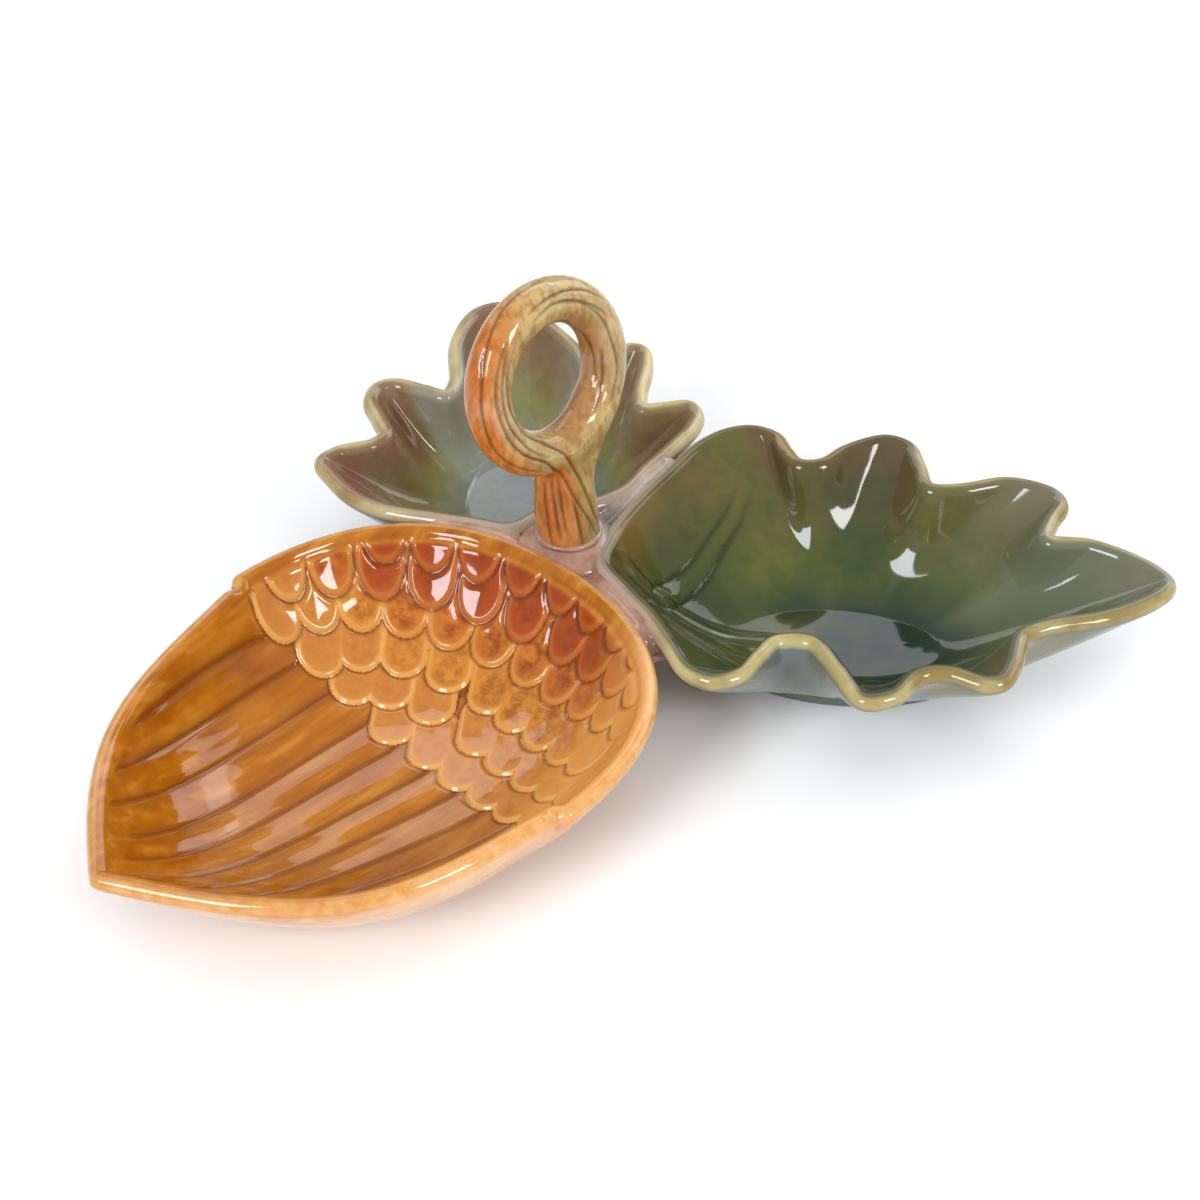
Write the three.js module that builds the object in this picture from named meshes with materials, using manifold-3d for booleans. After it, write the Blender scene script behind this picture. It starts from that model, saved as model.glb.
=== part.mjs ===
// Divided candy dish in glazed ceramic: an acorn bowl and two oak leaf bowls round a twig ring handle.
// Millimetres, +Z up. The plan is drawn from the acorn's stem end: the acorn points along -Y, the right
// leaf to +X and +Y, the left leaf to -X and +Y. The finished group stands on z = 0, centred on its box.

import * as THREE from 'three';
import { mergeVertices } from 'three/addons/utils/BufferGeometryUtils.js';
import Module from 'manifold-3d';

const wasm = await Module();
wasm.setup();

// Dishes: every bowl has the same wall, rim height and foot
const WALL = 5.4;
const RIM_HEIGHT = 40;
const FOOT_HEIGHT = 2;
const FOOT_WIDTH = 5;
const FLARE_START = 0.5;
const FLARE_CURVE = 1.5;
const BEARING_EASE = 0.03;
const JOIN_GAP = 0.3;

// Acorn: half of an acorn cut lengthwise, the cap towards the stem and the nut towards the tip
const ACORN_AXIS_X = 6.6;
const ACORN_BACK_Y = -8;
const CAP_LENGTH = 66;
const CAP_WIDTH = 130.5;
const CAP_ROUNDNESS = 0.63;
const CAP_STEP = 1.8;
const CAP_STEP_LENGTH = 4;
const NUT_LENGTH = 98;
const NUT_TIP_ANGLE = 60;
const NUT_TIP_PULL = 61;
const NUT_SHOULDER_PULL = 47;
const NUT_SHOULDER_SLOPE = 0.18;
const NUT_TIP_SHIFT = -2.8;
const NUT_SKEW = 3.4;
const ACORN_BOWL_LENGTH = 166;
const ACORN_BOWL_WIDTH = 138;
const ACORN_BOWL_SETBACK = 8;
const ACORN_FLOOR_SHARE = 0.1;
const ACORN_FOOT_SHARE = 0.46;
const ACORN_WALL_CURVE = 3.2;

// Leaves: the midrib runs at HEADING degrees from +X, SHIFT to the left of the stem end
const RIGHT_LEAF_HEADING = 37;
const RIGHT_LEAF_SHIFT = 6;
const RIGHT_BOWL_CENTRE = 79;
const RIGHT_BOWL_LENGTH = 140;
const RIGHT_BOWL_WIDTH = 70;
const LEFT_LEAF_HEADING = 147.5;
const LEFT_LEAF_SHIFT = 1;
const LEFT_BOWL_CENTRE = 59;
const LEFT_BOWL_LENGTH = 94;
const LEFT_BOWL_WIDTH = 68;
const LEAF_FLOOR_SHARE = 0.3;
const LEAF_FOOT_SHARE = 0.52;
const LEAF_WALL_CURVE = 2.1;

// Rim outlines of the leaves, each point [along the midrib from the stem end, to its left]
const RIGHT_LEAF_RIM = [
  [11, 3], [10, -10], [17, -20], [26, -31], [33, -42], [38.5, -50.5], [46, -53.5], [53, -50],
  [57.5, -42], [61.5, -36], [71, -35], [79, -45.5], [86.5, -56], [94.5, -53.5], [101, -44.5], [109, -42.5],
  [119, -45.5], [123.5, -44], [126.5, -37], [129, -25], [135, -20.5], [152, -14], [166, -4], [169.5, 2],
  [164.5, 8.5], [148.5, 16.5], [135.5, 17.5], [136.5, 25.5], [139.5, 34], [137, 39], [124.5, 42.5],
  [110, 37.5], [101, 37], [97.5, 47], [94, 56], [87.5, 58.5], [76.5, 52.5], [69, 44.5], [62, 43.5],
  [58, 48.5], [54, 55.5], [47, 58], [39.5, 55.5], [32, 48], [24, 33], [17, 19],
];
const LEFT_LEAF_RIM = [
  [19.5, 2], [20, -11.5], [24, -22.5], [33, -32], [42, -42.5], [48.5, -49], [54.5, -52.5], [60, -51.5],
  [61, -44], [62, -37.5], [68.5, -38], [83, -43.5], [91.5, -44.5], [93.5, -41], [90.5, -35.5], [88, -27],
  [96.5, -24.5], [108.5, -20], [118.5, -15.5], [125, -6], [123, 2.5], [108.5, 11.5], [89, 15.5],
  [82.5, 20], [86.5, 26], [92, 34.5], [91, 40], [84.5, 43], [75.5, 42], [67, 41.5], [63.5, 45.5],
  [62, 57], [58.5, 62], [50, 60], [40, 55.5], [32.5, 48.5], [25, 34.5], [20, 24.5], [15, 13.5],
];

// Centre saddle: the plug between the three rims, which carries the handle
const STEM_X = -5;
const STEM_Y = 4;
const SADDLE_RADIUS = 11.5;
const SADDLE_DEPTH = 16;
const SADDLE_RISE = 1.2;

// Twig handle: a tapered stem and a round ring that leans towards the left leaf
const STEM_FOOT_RADIUS = 8.9;
const STEM_NECK_RADIUS = 7.4;
const STEM_NECK_DROP = 8.4;
const STEM_TOP_RADIUS = 5.3;
const RING_RADIUS = 21.8;
const RING_TWIG_RADIUS = 6.6;
const RING_LEAN = 12;
const RING_CENTRE_HEIGHT = 96.5;
const RING_OFFSET_X = -4;
const RING_OFFSET_Y = -3.8;
const BEAD_RADIUS = 0.9;

// Seams: webs of slip in the grooves under adjoining rims, each from the saddle out to its END bearing
const SEAM_DROP = 0.8;
const SEAM_DEPTH = 8;
const SEAM_REACH = 14;
const ACORN_RIGHT_SEAM_END = 62;
const ACORN_LEFT_SEAM_END = 131;
const LEAF_LEAF_SEAM_END = 174;

// Facets
const ACORN_STATIONS = 72;
const RIGHT_LEAF_STATIONS = 112;
const LEFT_LEAF_STATIONS = 96;
const RIM_ARC_STEPS = 4;
const BAND_STEPS = 16;
const POST_SIDES = 40;
const STEM_SIDES = 28;
const STEM_STEPS = 8;
const RING_SIDES = 16;
const RING_STEPS = 44;
const BEAD_SIDES = 10;
const BEAD_STEPS = 40;
const INNER_SHARES = [0.24, 0.46, 0.6, 0.72, 0.82, 0.91];
const OUTER_SHARES = [1, 0.9, 0.78, 0.65];

const ACORN_TIP_Y = ACORN_BACK_Y - CAP_LENGTH - NUT_LENGTH;
const HALF_WALL = WALL / 2;
const FLOOR_LEVEL = FOOT_HEIGHT + HALF_WALL;
const RIM_LEVEL = RIM_HEIGHT - HALF_WALL;
const SADDLE_TOP = RIM_HEIGHT + SADDLE_RISE;
const HANDLE_FOOT = SADDLE_TOP + JOIN_GAP;
const DIFFERENCE_STEP = 1e-3;

// Plan outlines

function acornRim() {
  const shoulder = ACORN_BACK_Y - CAP_LENGTH;
  const nutTop = shoulder - CAP_STEP_LENGTH;
  const capHalf = CAP_WIDTH / 2;
  const nutHalf = capHalf - CAP_STEP;
  const tipAngle = THREE.MathUtils.degToRad(NUT_TIP_ANGLE);
  const tipPull = [NUT_TIP_PULL * Math.sin(tipAngle), ACORN_TIP_Y + NUT_TIP_PULL * Math.cos(tipAngle)];
  const shoulderPull = [nutHalf - NUT_SHOULDER_SLOPE * NUT_SHOULDER_PULL, nutTop - NUT_SHOULDER_PULL];
  const capSide = shoulder + CAP_ROUNDNESS * CAP_LENGTH;
  const capBack = CAP_ROUNDNESS * capHalf;
  const x = (half) => ACORN_AXIS_X + half;
  const path = new THREE.Path();
  path.moveTo(x(NUT_TIP_SHIFT), ACORN_TIP_Y);
  path.bezierCurveTo(
    x(NUT_SKEW + tipPull[0]), tipPull[1],
    x(NUT_SKEW + shoulderPull[0]), shoulderPull[1],
    x(nutHalf), nutTop,
  );
  path.lineTo(x(capHalf), shoulder);
  path.bezierCurveTo(x(capHalf), capSide, x(capBack), ACORN_BACK_Y, x(0), ACORN_BACK_Y);
  path.bezierCurveTo(x(-capBack), ACORN_BACK_Y, x(-capHalf), capSide, x(-capHalf), shoulder);
  path.lineTo(x(-nutHalf), nutTop);
  path.bezierCurveTo(
    x(NUT_SKEW - shoulderPull[0]), shoulderPull[1],
    x(NUT_SKEW - tipPull[0]), tipPull[1],
    x(NUT_TIP_SHIFT), ACORN_TIP_Y,
  );
  return path.getSpacedPoints(ACORN_STATIONS).slice(0, ACORN_STATIONS);
}

function leafToPlan(along, left, heading, shift) {
  const point = new THREE.Vector2(along, left + shift);
  return point.rotateAround(new THREE.Vector2(), THREE.MathUtils.degToRad(heading));
}

function leafRim(outline, heading, shift, stations) {
  const corners = outline.map(([along, left]) => {
    const point = leafToPlan(along, left, heading, shift);
    return new THREE.Vector3(point.x, point.y, 0);
  });
  const curve = new THREE.CatmullRomCurve3(corners, true, 'centripetal');
  const points = curve.getSpacedPoints(stations).slice(0, stations);
  return points.map((point) => new THREE.Vector2(point.x, point.y));
}

// Dishes: the wall's middle surface runs from the bowl's oval floor to a rim station. Each station starts
// at its own bearing round the oval, eased along the rim so that the flanks of the lobes fan out evenly.

function easedBearings(rim, centre, heading) {
  const count = rim.length;
  const turn = 2 * Math.PI;
  const bearings = [];
  rim.forEach((point, station) => {
    const bearing = point.clone().sub(centre).angle() - THREE.MathUtils.degToRad(heading);
    const before = station > 0 ? bearings[station - 1] : bearing;
    bearings.push(bearing - turn * Math.round((bearing - before) / turn));
  });
  const at = (list, station) => {
    const laps = Math.floor(station / count);
    return list[station - laps * count] + laps * turn;
  };
  const span = Math.round(BEARING_EASE * count);
  const average = (list) => list.map((_, station) => {
    let sum = 0;
    for (let step = -span; step <= span; step += 1) {
      sum += at(list, station + step);
    }
    return sum / (2 * span + 1);
  });
  return average(average(bearings));
}

function makeDish({ rim, centre, heading, length, width, floorShare, footShare, wallCurve }) {
  const bearings = easedBearings(rim, centre, heading);
  const floor = bearings.map((bearing) => {
    const reach = 0.5 / Math.hypot(Math.cos(bearing) / length, Math.sin(bearing) / width);
    const direction = bearing + THREE.MathUtils.degToRad(heading);
    return new THREE.Vector2(Math.cos(direction), Math.sin(direction)).multiplyScalar(reach);
  });
  return { rim, centre, floor, floorShare, footShare, wallCurve };
}

const acorn = makeDish({
  rim: acornRim(),
  centre: new THREE.Vector2(ACORN_AXIS_X, ACORN_TIP_Y + ACORN_BOWL_SETBACK + ACORN_BOWL_LENGTH / 2),
  heading: -90,
  length: ACORN_BOWL_LENGTH,
  width: ACORN_BOWL_WIDTH,
  floorShare: ACORN_FLOOR_SHARE,
  footShare: ACORN_FOOT_SHARE,
  wallCurve: ACORN_WALL_CURVE,
});

const rightLeaf = makeDish({
  rim: leafRim(RIGHT_LEAF_RIM, RIGHT_LEAF_HEADING, RIGHT_LEAF_SHIFT, RIGHT_LEAF_STATIONS),
  centre: leafToPlan(RIGHT_BOWL_CENTRE, 0, RIGHT_LEAF_HEADING, RIGHT_LEAF_SHIFT),
  heading: RIGHT_LEAF_HEADING,
  length: RIGHT_BOWL_LENGTH,
  width: RIGHT_BOWL_WIDTH,
  floorShare: LEAF_FLOOR_SHARE,
  footShare: LEAF_FOOT_SHARE,
  wallCurve: LEAF_WALL_CURVE,
});

const leftLeaf = makeDish({
  rim: leafRim(LEFT_LEAF_RIM, LEFT_LEAF_HEADING, LEFT_LEAF_SHIFT, LEFT_LEAF_STATIONS),
  centre: leafToPlan(LEFT_BOWL_CENTRE, 0, LEFT_LEAF_HEADING, LEFT_LEAF_SHIFT),
  heading: LEFT_LEAF_HEADING,
  length: LEFT_BOWL_LENGTH,
  width: LEFT_BOWL_WIDTH,
  floorShare: LEAF_FLOOR_SHARE,
  footShare: LEAF_FOOT_SHARE,
  wallCurve: LEAF_WALL_CURVE,
});

function wallHeight(dish, share) {
  const climb = Math.max(0, (share - dish.floorShare) / (1 - dish.floorShare));
  return FLOOR_LEVEL + (RIM_LEVEL - FLOOR_LEVEL) * climb ** dish.wallCurve;
}

function middlePoint(dish, station, share) {
  const count = dish.rim.length;
  const index = (station + count) % count;
  const floor = dish.floor[index];
  const flare = Math.max(0, (share - FLARE_START) / (1 - FLARE_START)) ** FLARE_CURVE;
  const spread = dish.rim[index].clone().sub(dish.centre).sub(floor);
  const plan = floor.clone().multiplyScalar(share).addScaledVector(spread, flare).add(dish.centre);
  return new THREE.Vector3(plan.x, plan.y, wallHeight(dish, share));
}

function wallFrame(dish, station, share) {
  const point = middlePoint(dish, station, share);
  const along = middlePoint(dish, station + 1, share).sub(middlePoint(dish, station - 1, share));
  const outer = middlePoint(dish, station, share + DIFFERENCE_STEP);
  const climb = outer.sub(middlePoint(dish, station, share - DIFFERENCE_STEP));
  const inward = climb.cross(along).normalize();
  const outward = along.clone().cross(inward).normalize();
  return { point, inward, outward };
}

function offsetRow(dish, share, distance) {
  return dish.rim.map((_, station) => {
    const { point, inward } = wallFrame(dish, station, share);
    return point.addScaledVector(inward, distance);
  });
}

function rimArcRow(dish, radius, angleOf) {
  return dish.rim.map((_, station) => {
    const { point, inward, outward } = wallFrame(dish, station, 1);
    const angle = angleOf(inward, outward);
    point.addScaledVector(inward, radius * Math.cos(angle));
    return point.addScaledVector(outward, radius * Math.sin(angle));
  });
}

function levelRow(row, dish, inset, height) {
  return row.map((point) => {
    const ray = new THREE.Vector2(point.x, point.y).sub(dish.centre);
    ray.setLength(ray.length() - inset).add(dish.centre);
    return new THREE.Vector3(ray.x, ray.y, height);
  });
}

function closedSkin(top, rows, bottom) {
  const count = rows[0].length;
  const points = [top, ...rows.flat(), bottom];
  const last = points.length - 1;
  const at = (row, station) => 1 + row * count + (station % count);
  const faces = [];
  for (let station = 0; station < count; station += 1) {
    faces.push(0, at(0, station), at(0, station + 1));
    for (let row = 0; row < rows.length - 1; row += 1) {
      faces.push(at(row, station), at(row + 1, station), at(row + 1, station + 1));
      faces.push(at(row, station), at(row + 1, station + 1), at(row, station + 1));
    }
    faces.push(last, at(rows.length - 1, station + 1), at(rows.length - 1, station));
  }
  const geometry = new THREE.BufferGeometry().setFromPoints(points);
  geometry.setIndex(faces);
  return geometry;
}

function dishGeometry(dish) {
  const rows = INNER_SHARES.map((share) => offsetRow(dish, share, HALF_WALL));
  for (let step = 0; step < RIM_ARC_STEPS; step += 1) {
    rows.push(rimArcRow(dish, HALF_WALL, () => (Math.PI * step) / RIM_ARC_STEPS));
  }
  OUTER_SHARES.forEach((share) => rows.push(offsetRow(dish, share, -HALF_WALL)));
  const footTop = offsetRow(dish, dish.footShare, -HALF_WALL);
  rows.push(footTop);
  rows.push(levelRow(footTop, dish, 0, 0));
  rows.push(levelRow(footTop, dish, FOOT_WIDTH, 0));
  rows.push(levelRow(footTop, dish, FOOT_WIDTH, FOOT_HEIGHT));
  const floor = new THREE.Vector3(dish.centre.x, dish.centre.y, FLOOR_LEVEL + HALF_WALL);
  const recess = new THREE.Vector3(dish.centre.x, dish.centre.y, FOOT_HEIGHT);
  return closedSkin(floor, rows, recess);
}

// The space that a dish takes up with its bowl filled, grown by the gap that its neighbours keep
function dishEnvelope(dish) {
  const reach = HALF_WALL + JOIN_GAP;
  const rows = [];
  for (let step = 0; step < RIM_ARC_STEPS; step += 1) {
    rows.push(rimArcRow(dish, reach, (inward, outward) => {
      const upright = Math.atan2(outward.z, inward.z);
      return upright + ((Math.PI - upright) * step) / RIM_ARC_STEPS;
    }));
  }
  OUTER_SHARES.forEach((share) => rows.push(offsetRow(dish, share, -reach)));
  const footTop = offsetRow(dish, dish.footShare, -reach);
  rows.push(footTop);
  rows.push(levelRow(footTop, dish, 0, -JOIN_GAP));
  const lid = new THREE.Vector3(dish.centre.x, dish.centre.y, RIM_HEIGHT + JOIN_GAP);
  const base = new THREE.Vector3(dish.centre.x, dish.centre.y, -JOIN_GAP);
  return closedSkin(lid, rows, base);
}

// Solids for cutting and joining

function toSolid(geometry) {
  const bare = geometry.clone();
  bare.deleteAttribute('normal');
  bare.deleteAttribute('uv');
  const merged = mergeVertices(bare);
  return new wasm.Manifold(new wasm.Mesh({
    numProp: 3,
    vertProperties: new Float32Array(merged.attributes.position.array),
    triVerts: new Uint32Array(merged.index.array),
  }));
}

function toGeometry(solid) {
  const mesh = solid.getMesh();
  const geometry = new THREE.BufferGeometry();
  geometry.setAttribute('position', new THREE.BufferAttribute(mesh.vertProperties, 3));
  geometry.setIndex(new THREE.BufferAttribute(mesh.triVerts, 1));
  return geometry;
}

const acornSpace = toSolid(dishEnvelope(acorn));
const rightLeafSpace = toSolid(dishEnvelope(rightLeaf));
const leftLeafSpace = toSolid(dishEnvelope(leftLeaf));

// A post round the stem's axis, from one height to another
function stemPost(radius, bottom, top) {
  const post = new THREE.CylinderGeometry(radius, radius, top - bottom, POST_SIDES);
  post.rotateX(Math.PI / 2);
  return post.translate(STEM_X, STEM_Y, (bottom + top) / 2);
}

function saddleSolid() {
  const post = toSolid(stemPost(SADDLE_RADIUS, RIM_HEIGHT - SADDLE_DEPTH, SADDLE_TOP));
  return post.subtract(acornSpace).subtract(rightLeafSpace).subtract(leftLeafSpace);
}

// A band along one dish's rim, from the stem to a bearing from the dish's centre, cut to fit the groove
function seamSolid(dish, endDegrees, neighbourSpace) {
  const start = new THREE.Vector2(STEM_X, STEM_Y).sub(dish.centre).angle();
  const end = THREE.MathUtils.degToRad(endDegrees);
  const inner = [];
  const outer = [];
  for (let step = 0; step <= BAND_STEPS; step += 1) {
    const bearing = THREE.MathUtils.lerp(start, end, step / BAND_STEPS);
    const ray = new THREE.Vector2(Math.cos(bearing), Math.sin(bearing));
    const reach = rimReach(dish, ray);
    inner.push(ray.clone().multiplyScalar(reach - SEAM_REACH).add(dish.centre));
    outer.push(ray.clone().multiplyScalar(reach + SEAM_REACH).add(dish.centre));
  }
  const shape = new THREE.Shape([...inner, ...outer.reverse()]);
  const band = new THREE.ExtrudeGeometry(shape, { depth: SEAM_DEPTH, bevelEnabled: false, steps: 1 });
  band.translate(0, 0, RIM_LEVEL - SEAM_DROP - SEAM_DEPTH);
  const ownSpace = toSolid(dishEnvelope(dish));
  const post = toSolid(stemPost(SADDLE_RADIUS + JOIN_GAP, 0, SADDLE_TOP));
  return toSolid(band).subtract(ownSpace).subtract(neighbourSpace).subtract(post);
}

// Distance from a dish's centre to its rim along a ray
function rimReach(dish, ray) {
  let best = dish.rim[0];
  let closest = -Infinity;
  dish.rim.forEach((point) => {
    const spoke = point.clone().sub(dish.centre);
    const match = spoke.dot(ray) / spoke.length();
    if (match > closest) {
      closest = match;
      best = point;
    }
  });
  return best.distanceTo(dish.centre);
}

// Handle, in its own frame with the foot of the stem at the origin

function stemGeometry() {
  const lean = THREE.MathUtils.degToRad(RING_LEAN);
  const ringBottom = RING_CENTRE_HEIGHT - HANDLE_FOOT - RING_RADIUS * Math.cos(lean);
  const side = new THREE.SplineCurve([
    new THREE.Vector2(STEM_FOOT_RADIUS, 0),
    new THREE.Vector2(STEM_NECK_RADIUS, ringBottom - STEM_NECK_DROP),
    new THREE.Vector2(STEM_TOP_RADIUS, ringBottom),
  ]);
  const bottom = new THREE.Vector2(0, 0);
  const top = new THREE.Vector2(0, ringBottom);
  const lathe = new THREE.LatheGeometry([bottom, ...side.getPoints(STEM_STEPS), top], STEM_SIDES);
  lathe.rotateX(Math.PI / 2);
  const bottomX = RING_OFFSET_X + RING_RADIUS * Math.sin(lean);
  const shear = new THREE.Matrix4().makeShear(0, 0, 0, 0, bottomX / ringBottom, RING_OFFSET_Y / ringBottom);
  return lathe.applyMatrix4(shear);
}

function ringGeometry() {
  const ring = new THREE.TorusGeometry(RING_RADIUS, RING_TWIG_RADIUS, RING_SIDES, RING_STEPS);
  ring.rotateY(Math.PI / 2);
  ring.rotateY(-THREE.MathUtils.degToRad(RING_LEAN));
  return ring.translate(RING_OFFSET_X, RING_OFFSET_Y, RING_CENTRE_HEIGHT - HANDLE_FOOT);
}

function beadGeometry() {
  const radius = STEM_FOOT_RADIUS + JOIN_GAP + BEAD_RADIUS;
  return new THREE.TorusGeometry(radius, BEAD_RADIUS, BEAD_SIDES, BEAD_STEPS);
}

// Glazes

const amberGlaze = new THREE.MeshStandardMaterial({ color: 0xaa6611, roughness: 0.15, metalness: 0 });
const greenGlaze = new THREE.MeshStandardMaterial({ color: 0x606445, roughness: 0.12, metalness: 0 });
const twigGlaze = new THREE.MeshStandardMaterial({ color: 0xb79f68, roughness: 0.18, metalness: 0 });
const mauveGlaze = new THREE.MeshStandardMaterial({ color: 0x8f816a, roughness: 0.2, metalness: 0 });

function namedMesh(name, geometry, material) {
  geometry.computeVertexNormals();
  const mesh = new THREE.Mesh(geometry, material);
  mesh.name = name;
  return mesh;
}

// Assembly

const dishes = new THREE.Group();
dishes.add(namedMesh('acorn_dish', dishGeometry(acorn), amberGlaze));
const rightLeafSolid = toSolid(dishGeometry(rightLeaf)).subtract(acornSpace);
dishes.add(namedMesh('right_leaf_dish', toGeometry(rightLeafSolid), greenGlaze));
const leftLeafSolid = toSolid(dishGeometry(leftLeaf)).subtract(acornSpace).subtract(rightLeafSpace);
dishes.add(namedMesh('left_leaf_dish', toGeometry(leftLeafSolid), greenGlaze));

const joins = new THREE.Group();
joins.add(namedMesh('centre_saddle', toGeometry(saddleSolid()), mauveGlaze));
const acornRightSeam = seamSolid(acorn, ACORN_RIGHT_SEAM_END, rightLeafSpace);
joins.add(namedMesh('seam_acorn_right_leaf', toGeometry(acornRightSeam), mauveGlaze));
const acornLeftSeam = seamSolid(acorn, ACORN_LEFT_SEAM_END, leftLeafSpace);
joins.add(namedMesh('seam_acorn_left_leaf', toGeometry(acornLeftSeam), mauveGlaze));
const leafLeafSeam = seamSolid(rightLeaf, LEAF_LEAF_SEAM_END, leftLeafSpace);
joins.add(namedMesh('seam_leaf_leaf', toGeometry(leafLeafSeam), mauveGlaze));

const handle = new THREE.Group();
handle.position.set(STEM_X, STEM_Y, HANDLE_FOOT);
const twig = toSolid(stemGeometry()).add(toSolid(ringGeometry()));
handle.add(namedMesh('twig_handle', toGeometry(twig), twigGlaze));
const bead = namedMesh('handle_bead', beadGeometry(), mauveGlaze);
bead.position.z = BEAD_RADIUS;
handle.add(bead);

const plan = new THREE.Group();
plan.add(dishes, joins, handle);
const middle = new THREE.Box3().setFromObject(plan).getCenter(new THREE.Vector3());
plan.position.set(-middle.x, -middle.y, 0);

const dish = new THREE.Group();
dish.add(plan);

export default dish;
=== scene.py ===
# Divided candy dish in majolica glaze: an acorn bowl and two oak leaf bowls round a twig ring handle.
# The meshes are drawn in the plan of the CAD part, in millimetres, and placed in its frame in metres.

import math

import bpy
import numpy as np
from mathutils import Matrix, Vector, kdtree


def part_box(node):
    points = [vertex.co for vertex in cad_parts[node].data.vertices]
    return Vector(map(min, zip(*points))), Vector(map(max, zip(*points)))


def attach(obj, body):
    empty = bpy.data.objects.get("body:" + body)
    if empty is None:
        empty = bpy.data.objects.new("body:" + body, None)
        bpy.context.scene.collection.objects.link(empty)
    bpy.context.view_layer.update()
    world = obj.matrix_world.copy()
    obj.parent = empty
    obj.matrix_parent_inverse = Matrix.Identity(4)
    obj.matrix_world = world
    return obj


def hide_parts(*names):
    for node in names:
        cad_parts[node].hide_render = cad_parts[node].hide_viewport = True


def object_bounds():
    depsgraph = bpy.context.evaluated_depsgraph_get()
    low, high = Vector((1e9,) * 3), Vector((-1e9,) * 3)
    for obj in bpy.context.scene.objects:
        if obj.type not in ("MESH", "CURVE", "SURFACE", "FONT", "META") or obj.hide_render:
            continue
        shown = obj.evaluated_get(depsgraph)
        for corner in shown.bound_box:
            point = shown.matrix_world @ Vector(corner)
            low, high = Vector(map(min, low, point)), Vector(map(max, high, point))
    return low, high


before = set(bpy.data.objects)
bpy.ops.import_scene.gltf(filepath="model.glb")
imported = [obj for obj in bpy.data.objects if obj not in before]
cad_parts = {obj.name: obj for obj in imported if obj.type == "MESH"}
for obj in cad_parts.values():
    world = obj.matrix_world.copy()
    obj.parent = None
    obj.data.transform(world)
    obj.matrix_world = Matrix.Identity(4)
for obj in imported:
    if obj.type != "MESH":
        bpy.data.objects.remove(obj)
cad_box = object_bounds()

# Sizes shared by the three bowls
HALF_WALL = 2.7
RIM_HEIGHT = 40.0
FOOT_HEIGHT = 2.0
FOOT_WIDTH = 5.0
FOOT_ROUND = 0.7
FOOT_CORNER = 0.21
FLARE_START = 0.5
ACORN_FLARE = {"flare_curve": 1.5, "flute_fade": 30.0}
LEAF_FLARE = {"flare_curve": 1.7, "flute_fade": 52.0}
BEARING_EASE = 0.03
INNER_SHARES = (0.012, 0.998)
OUTER_TOP_SHARE = 0.995
FLOOR_LEVEL = FOOT_HEIGHT + HALF_WALL
RIM_LEVEL = RIM_HEIGHT - HALF_WALL

# Shares of the way over the rim where the colours of its crest and of the outside come in
CREST_START = (0.24, 0.46)
CREST_END = (1.0, 0.7)
OUTSIDE_START = (0.5, 1.0)

# Bake map: two discs side by side, as shares of its width and height
DISC_MIDDLES = ((0.25, 0.5), (0.75, 0.5))
DISC_HOLE = 0.005
DISC_REACH = 0.235
DISC_STRETCH = np.array([1, 2])
RING_GAP = 0.05

# Acorn. The floor is an oval, with the shares of the way out where wall and foot begin, and the wall's curve
ACORN_HEADING = -90.0
ACORN_MIDDLE = 91.0
ACORN_FLOOR = {"length": 166, "width": 138, "floor_share": 0.1, "foot_share": 0.46, "wall_curve": 3.2}
ACORN_STATIONS = 960
ACORN_RINGS = 190
AXIS_X = 6.6
BACK_Y = -8.0
CAP_LENGTH = 66.0
CAP_HALF = 65.25
CAP_ROUNDNESS = 0.63
CAP_STEP = 2.2
CAP_STEP_LENGTH = 2.0
NOTCH_DEPTH = 1.3
NOTCH_BACK = 3.2
NOTCH_LENGTH = 2.0
NUT_LENGTH = 98.0
NUT_TIP_ANGLE = math.radians(60.0)
NUT_TIP_PULL = 61.0
NUT_SHOULDER_PULL = 47.0
NUT_SHOULDER_SLOPE = 0.18
NUT_TIP_SHIFT = -2.8
NUT_SKEW = 3.4
SHOULDER_Y = BACK_Y - CAP_LENGTH
TIP_Y = SHOULDER_Y - NUT_LENGTH

# Leaves: the midrib's heading in degrees and its shift, the floor and its middle, the rim, and the veins,
# midrib first. Each point is [along the midrib from the stem end, to its left]
RIGHT_LEAF = {
    "heading": 37.0, "shift": 6.0, "middle": 79.0, "stations": 840, "rings": 96, "vein_depth": 1.0,
    "floor": {"length": 140, "width": 70, "floor_share": 0.4, "foot_share": 0.52, "wall_curve": 1.9},
    "rim": [
        [11, 3], [10, -10], [17, -20], [26, -31], [33, -42], [38.5, -50.5], [46, -53.5], [53, -50],
        [57.5, -42], [61.5, -36], [71, -35], [79, -45.5], [86.5, -56], [94.5, -53.5], [101, -44.5],
        [109, -42.5], [119, -45.5], [123.5, -44], [126.5, -37], [129, -25], [135, -20.5], [152, -14],
        [166, -4], [169.5, 2], [164.5, 8.5], [148.5, 16.5], [135.5, 17.5], [136.5, 25.5], [139.5, 34],
        [137, 39], [124.5, 42.5], [110, 37.5], [101, 37], [97.5, 47], [94, 56], [87.5, 58.5], [76.5, 52.5],
        [69, 44.5], [62, 43.5], [58, 48.5], [54, 55.5], [47, 58], [39.5, 55.5], [32, 48], [24, 33], [17, 19],
    ],
    "veins": [
        [[15, -3], [45, -2], [90, -1], [140, 0], [160, 1]],
        [[26, -2], [36, 14], [44, 32], [48, 48]], [[62, -2], [74, 14], [84, 30], [90, 47]],
        [[98, -1], [110, 12], [121, 24], [130, 34]], [[30, -3], [36, -18], [42, -32], [46, -45]],
        [[66, -2], [75, -16], [82, -32], [87, -47]], [[98, -1], [106, -14], [113, -27], [118, -38]],
    ],
}
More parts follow.
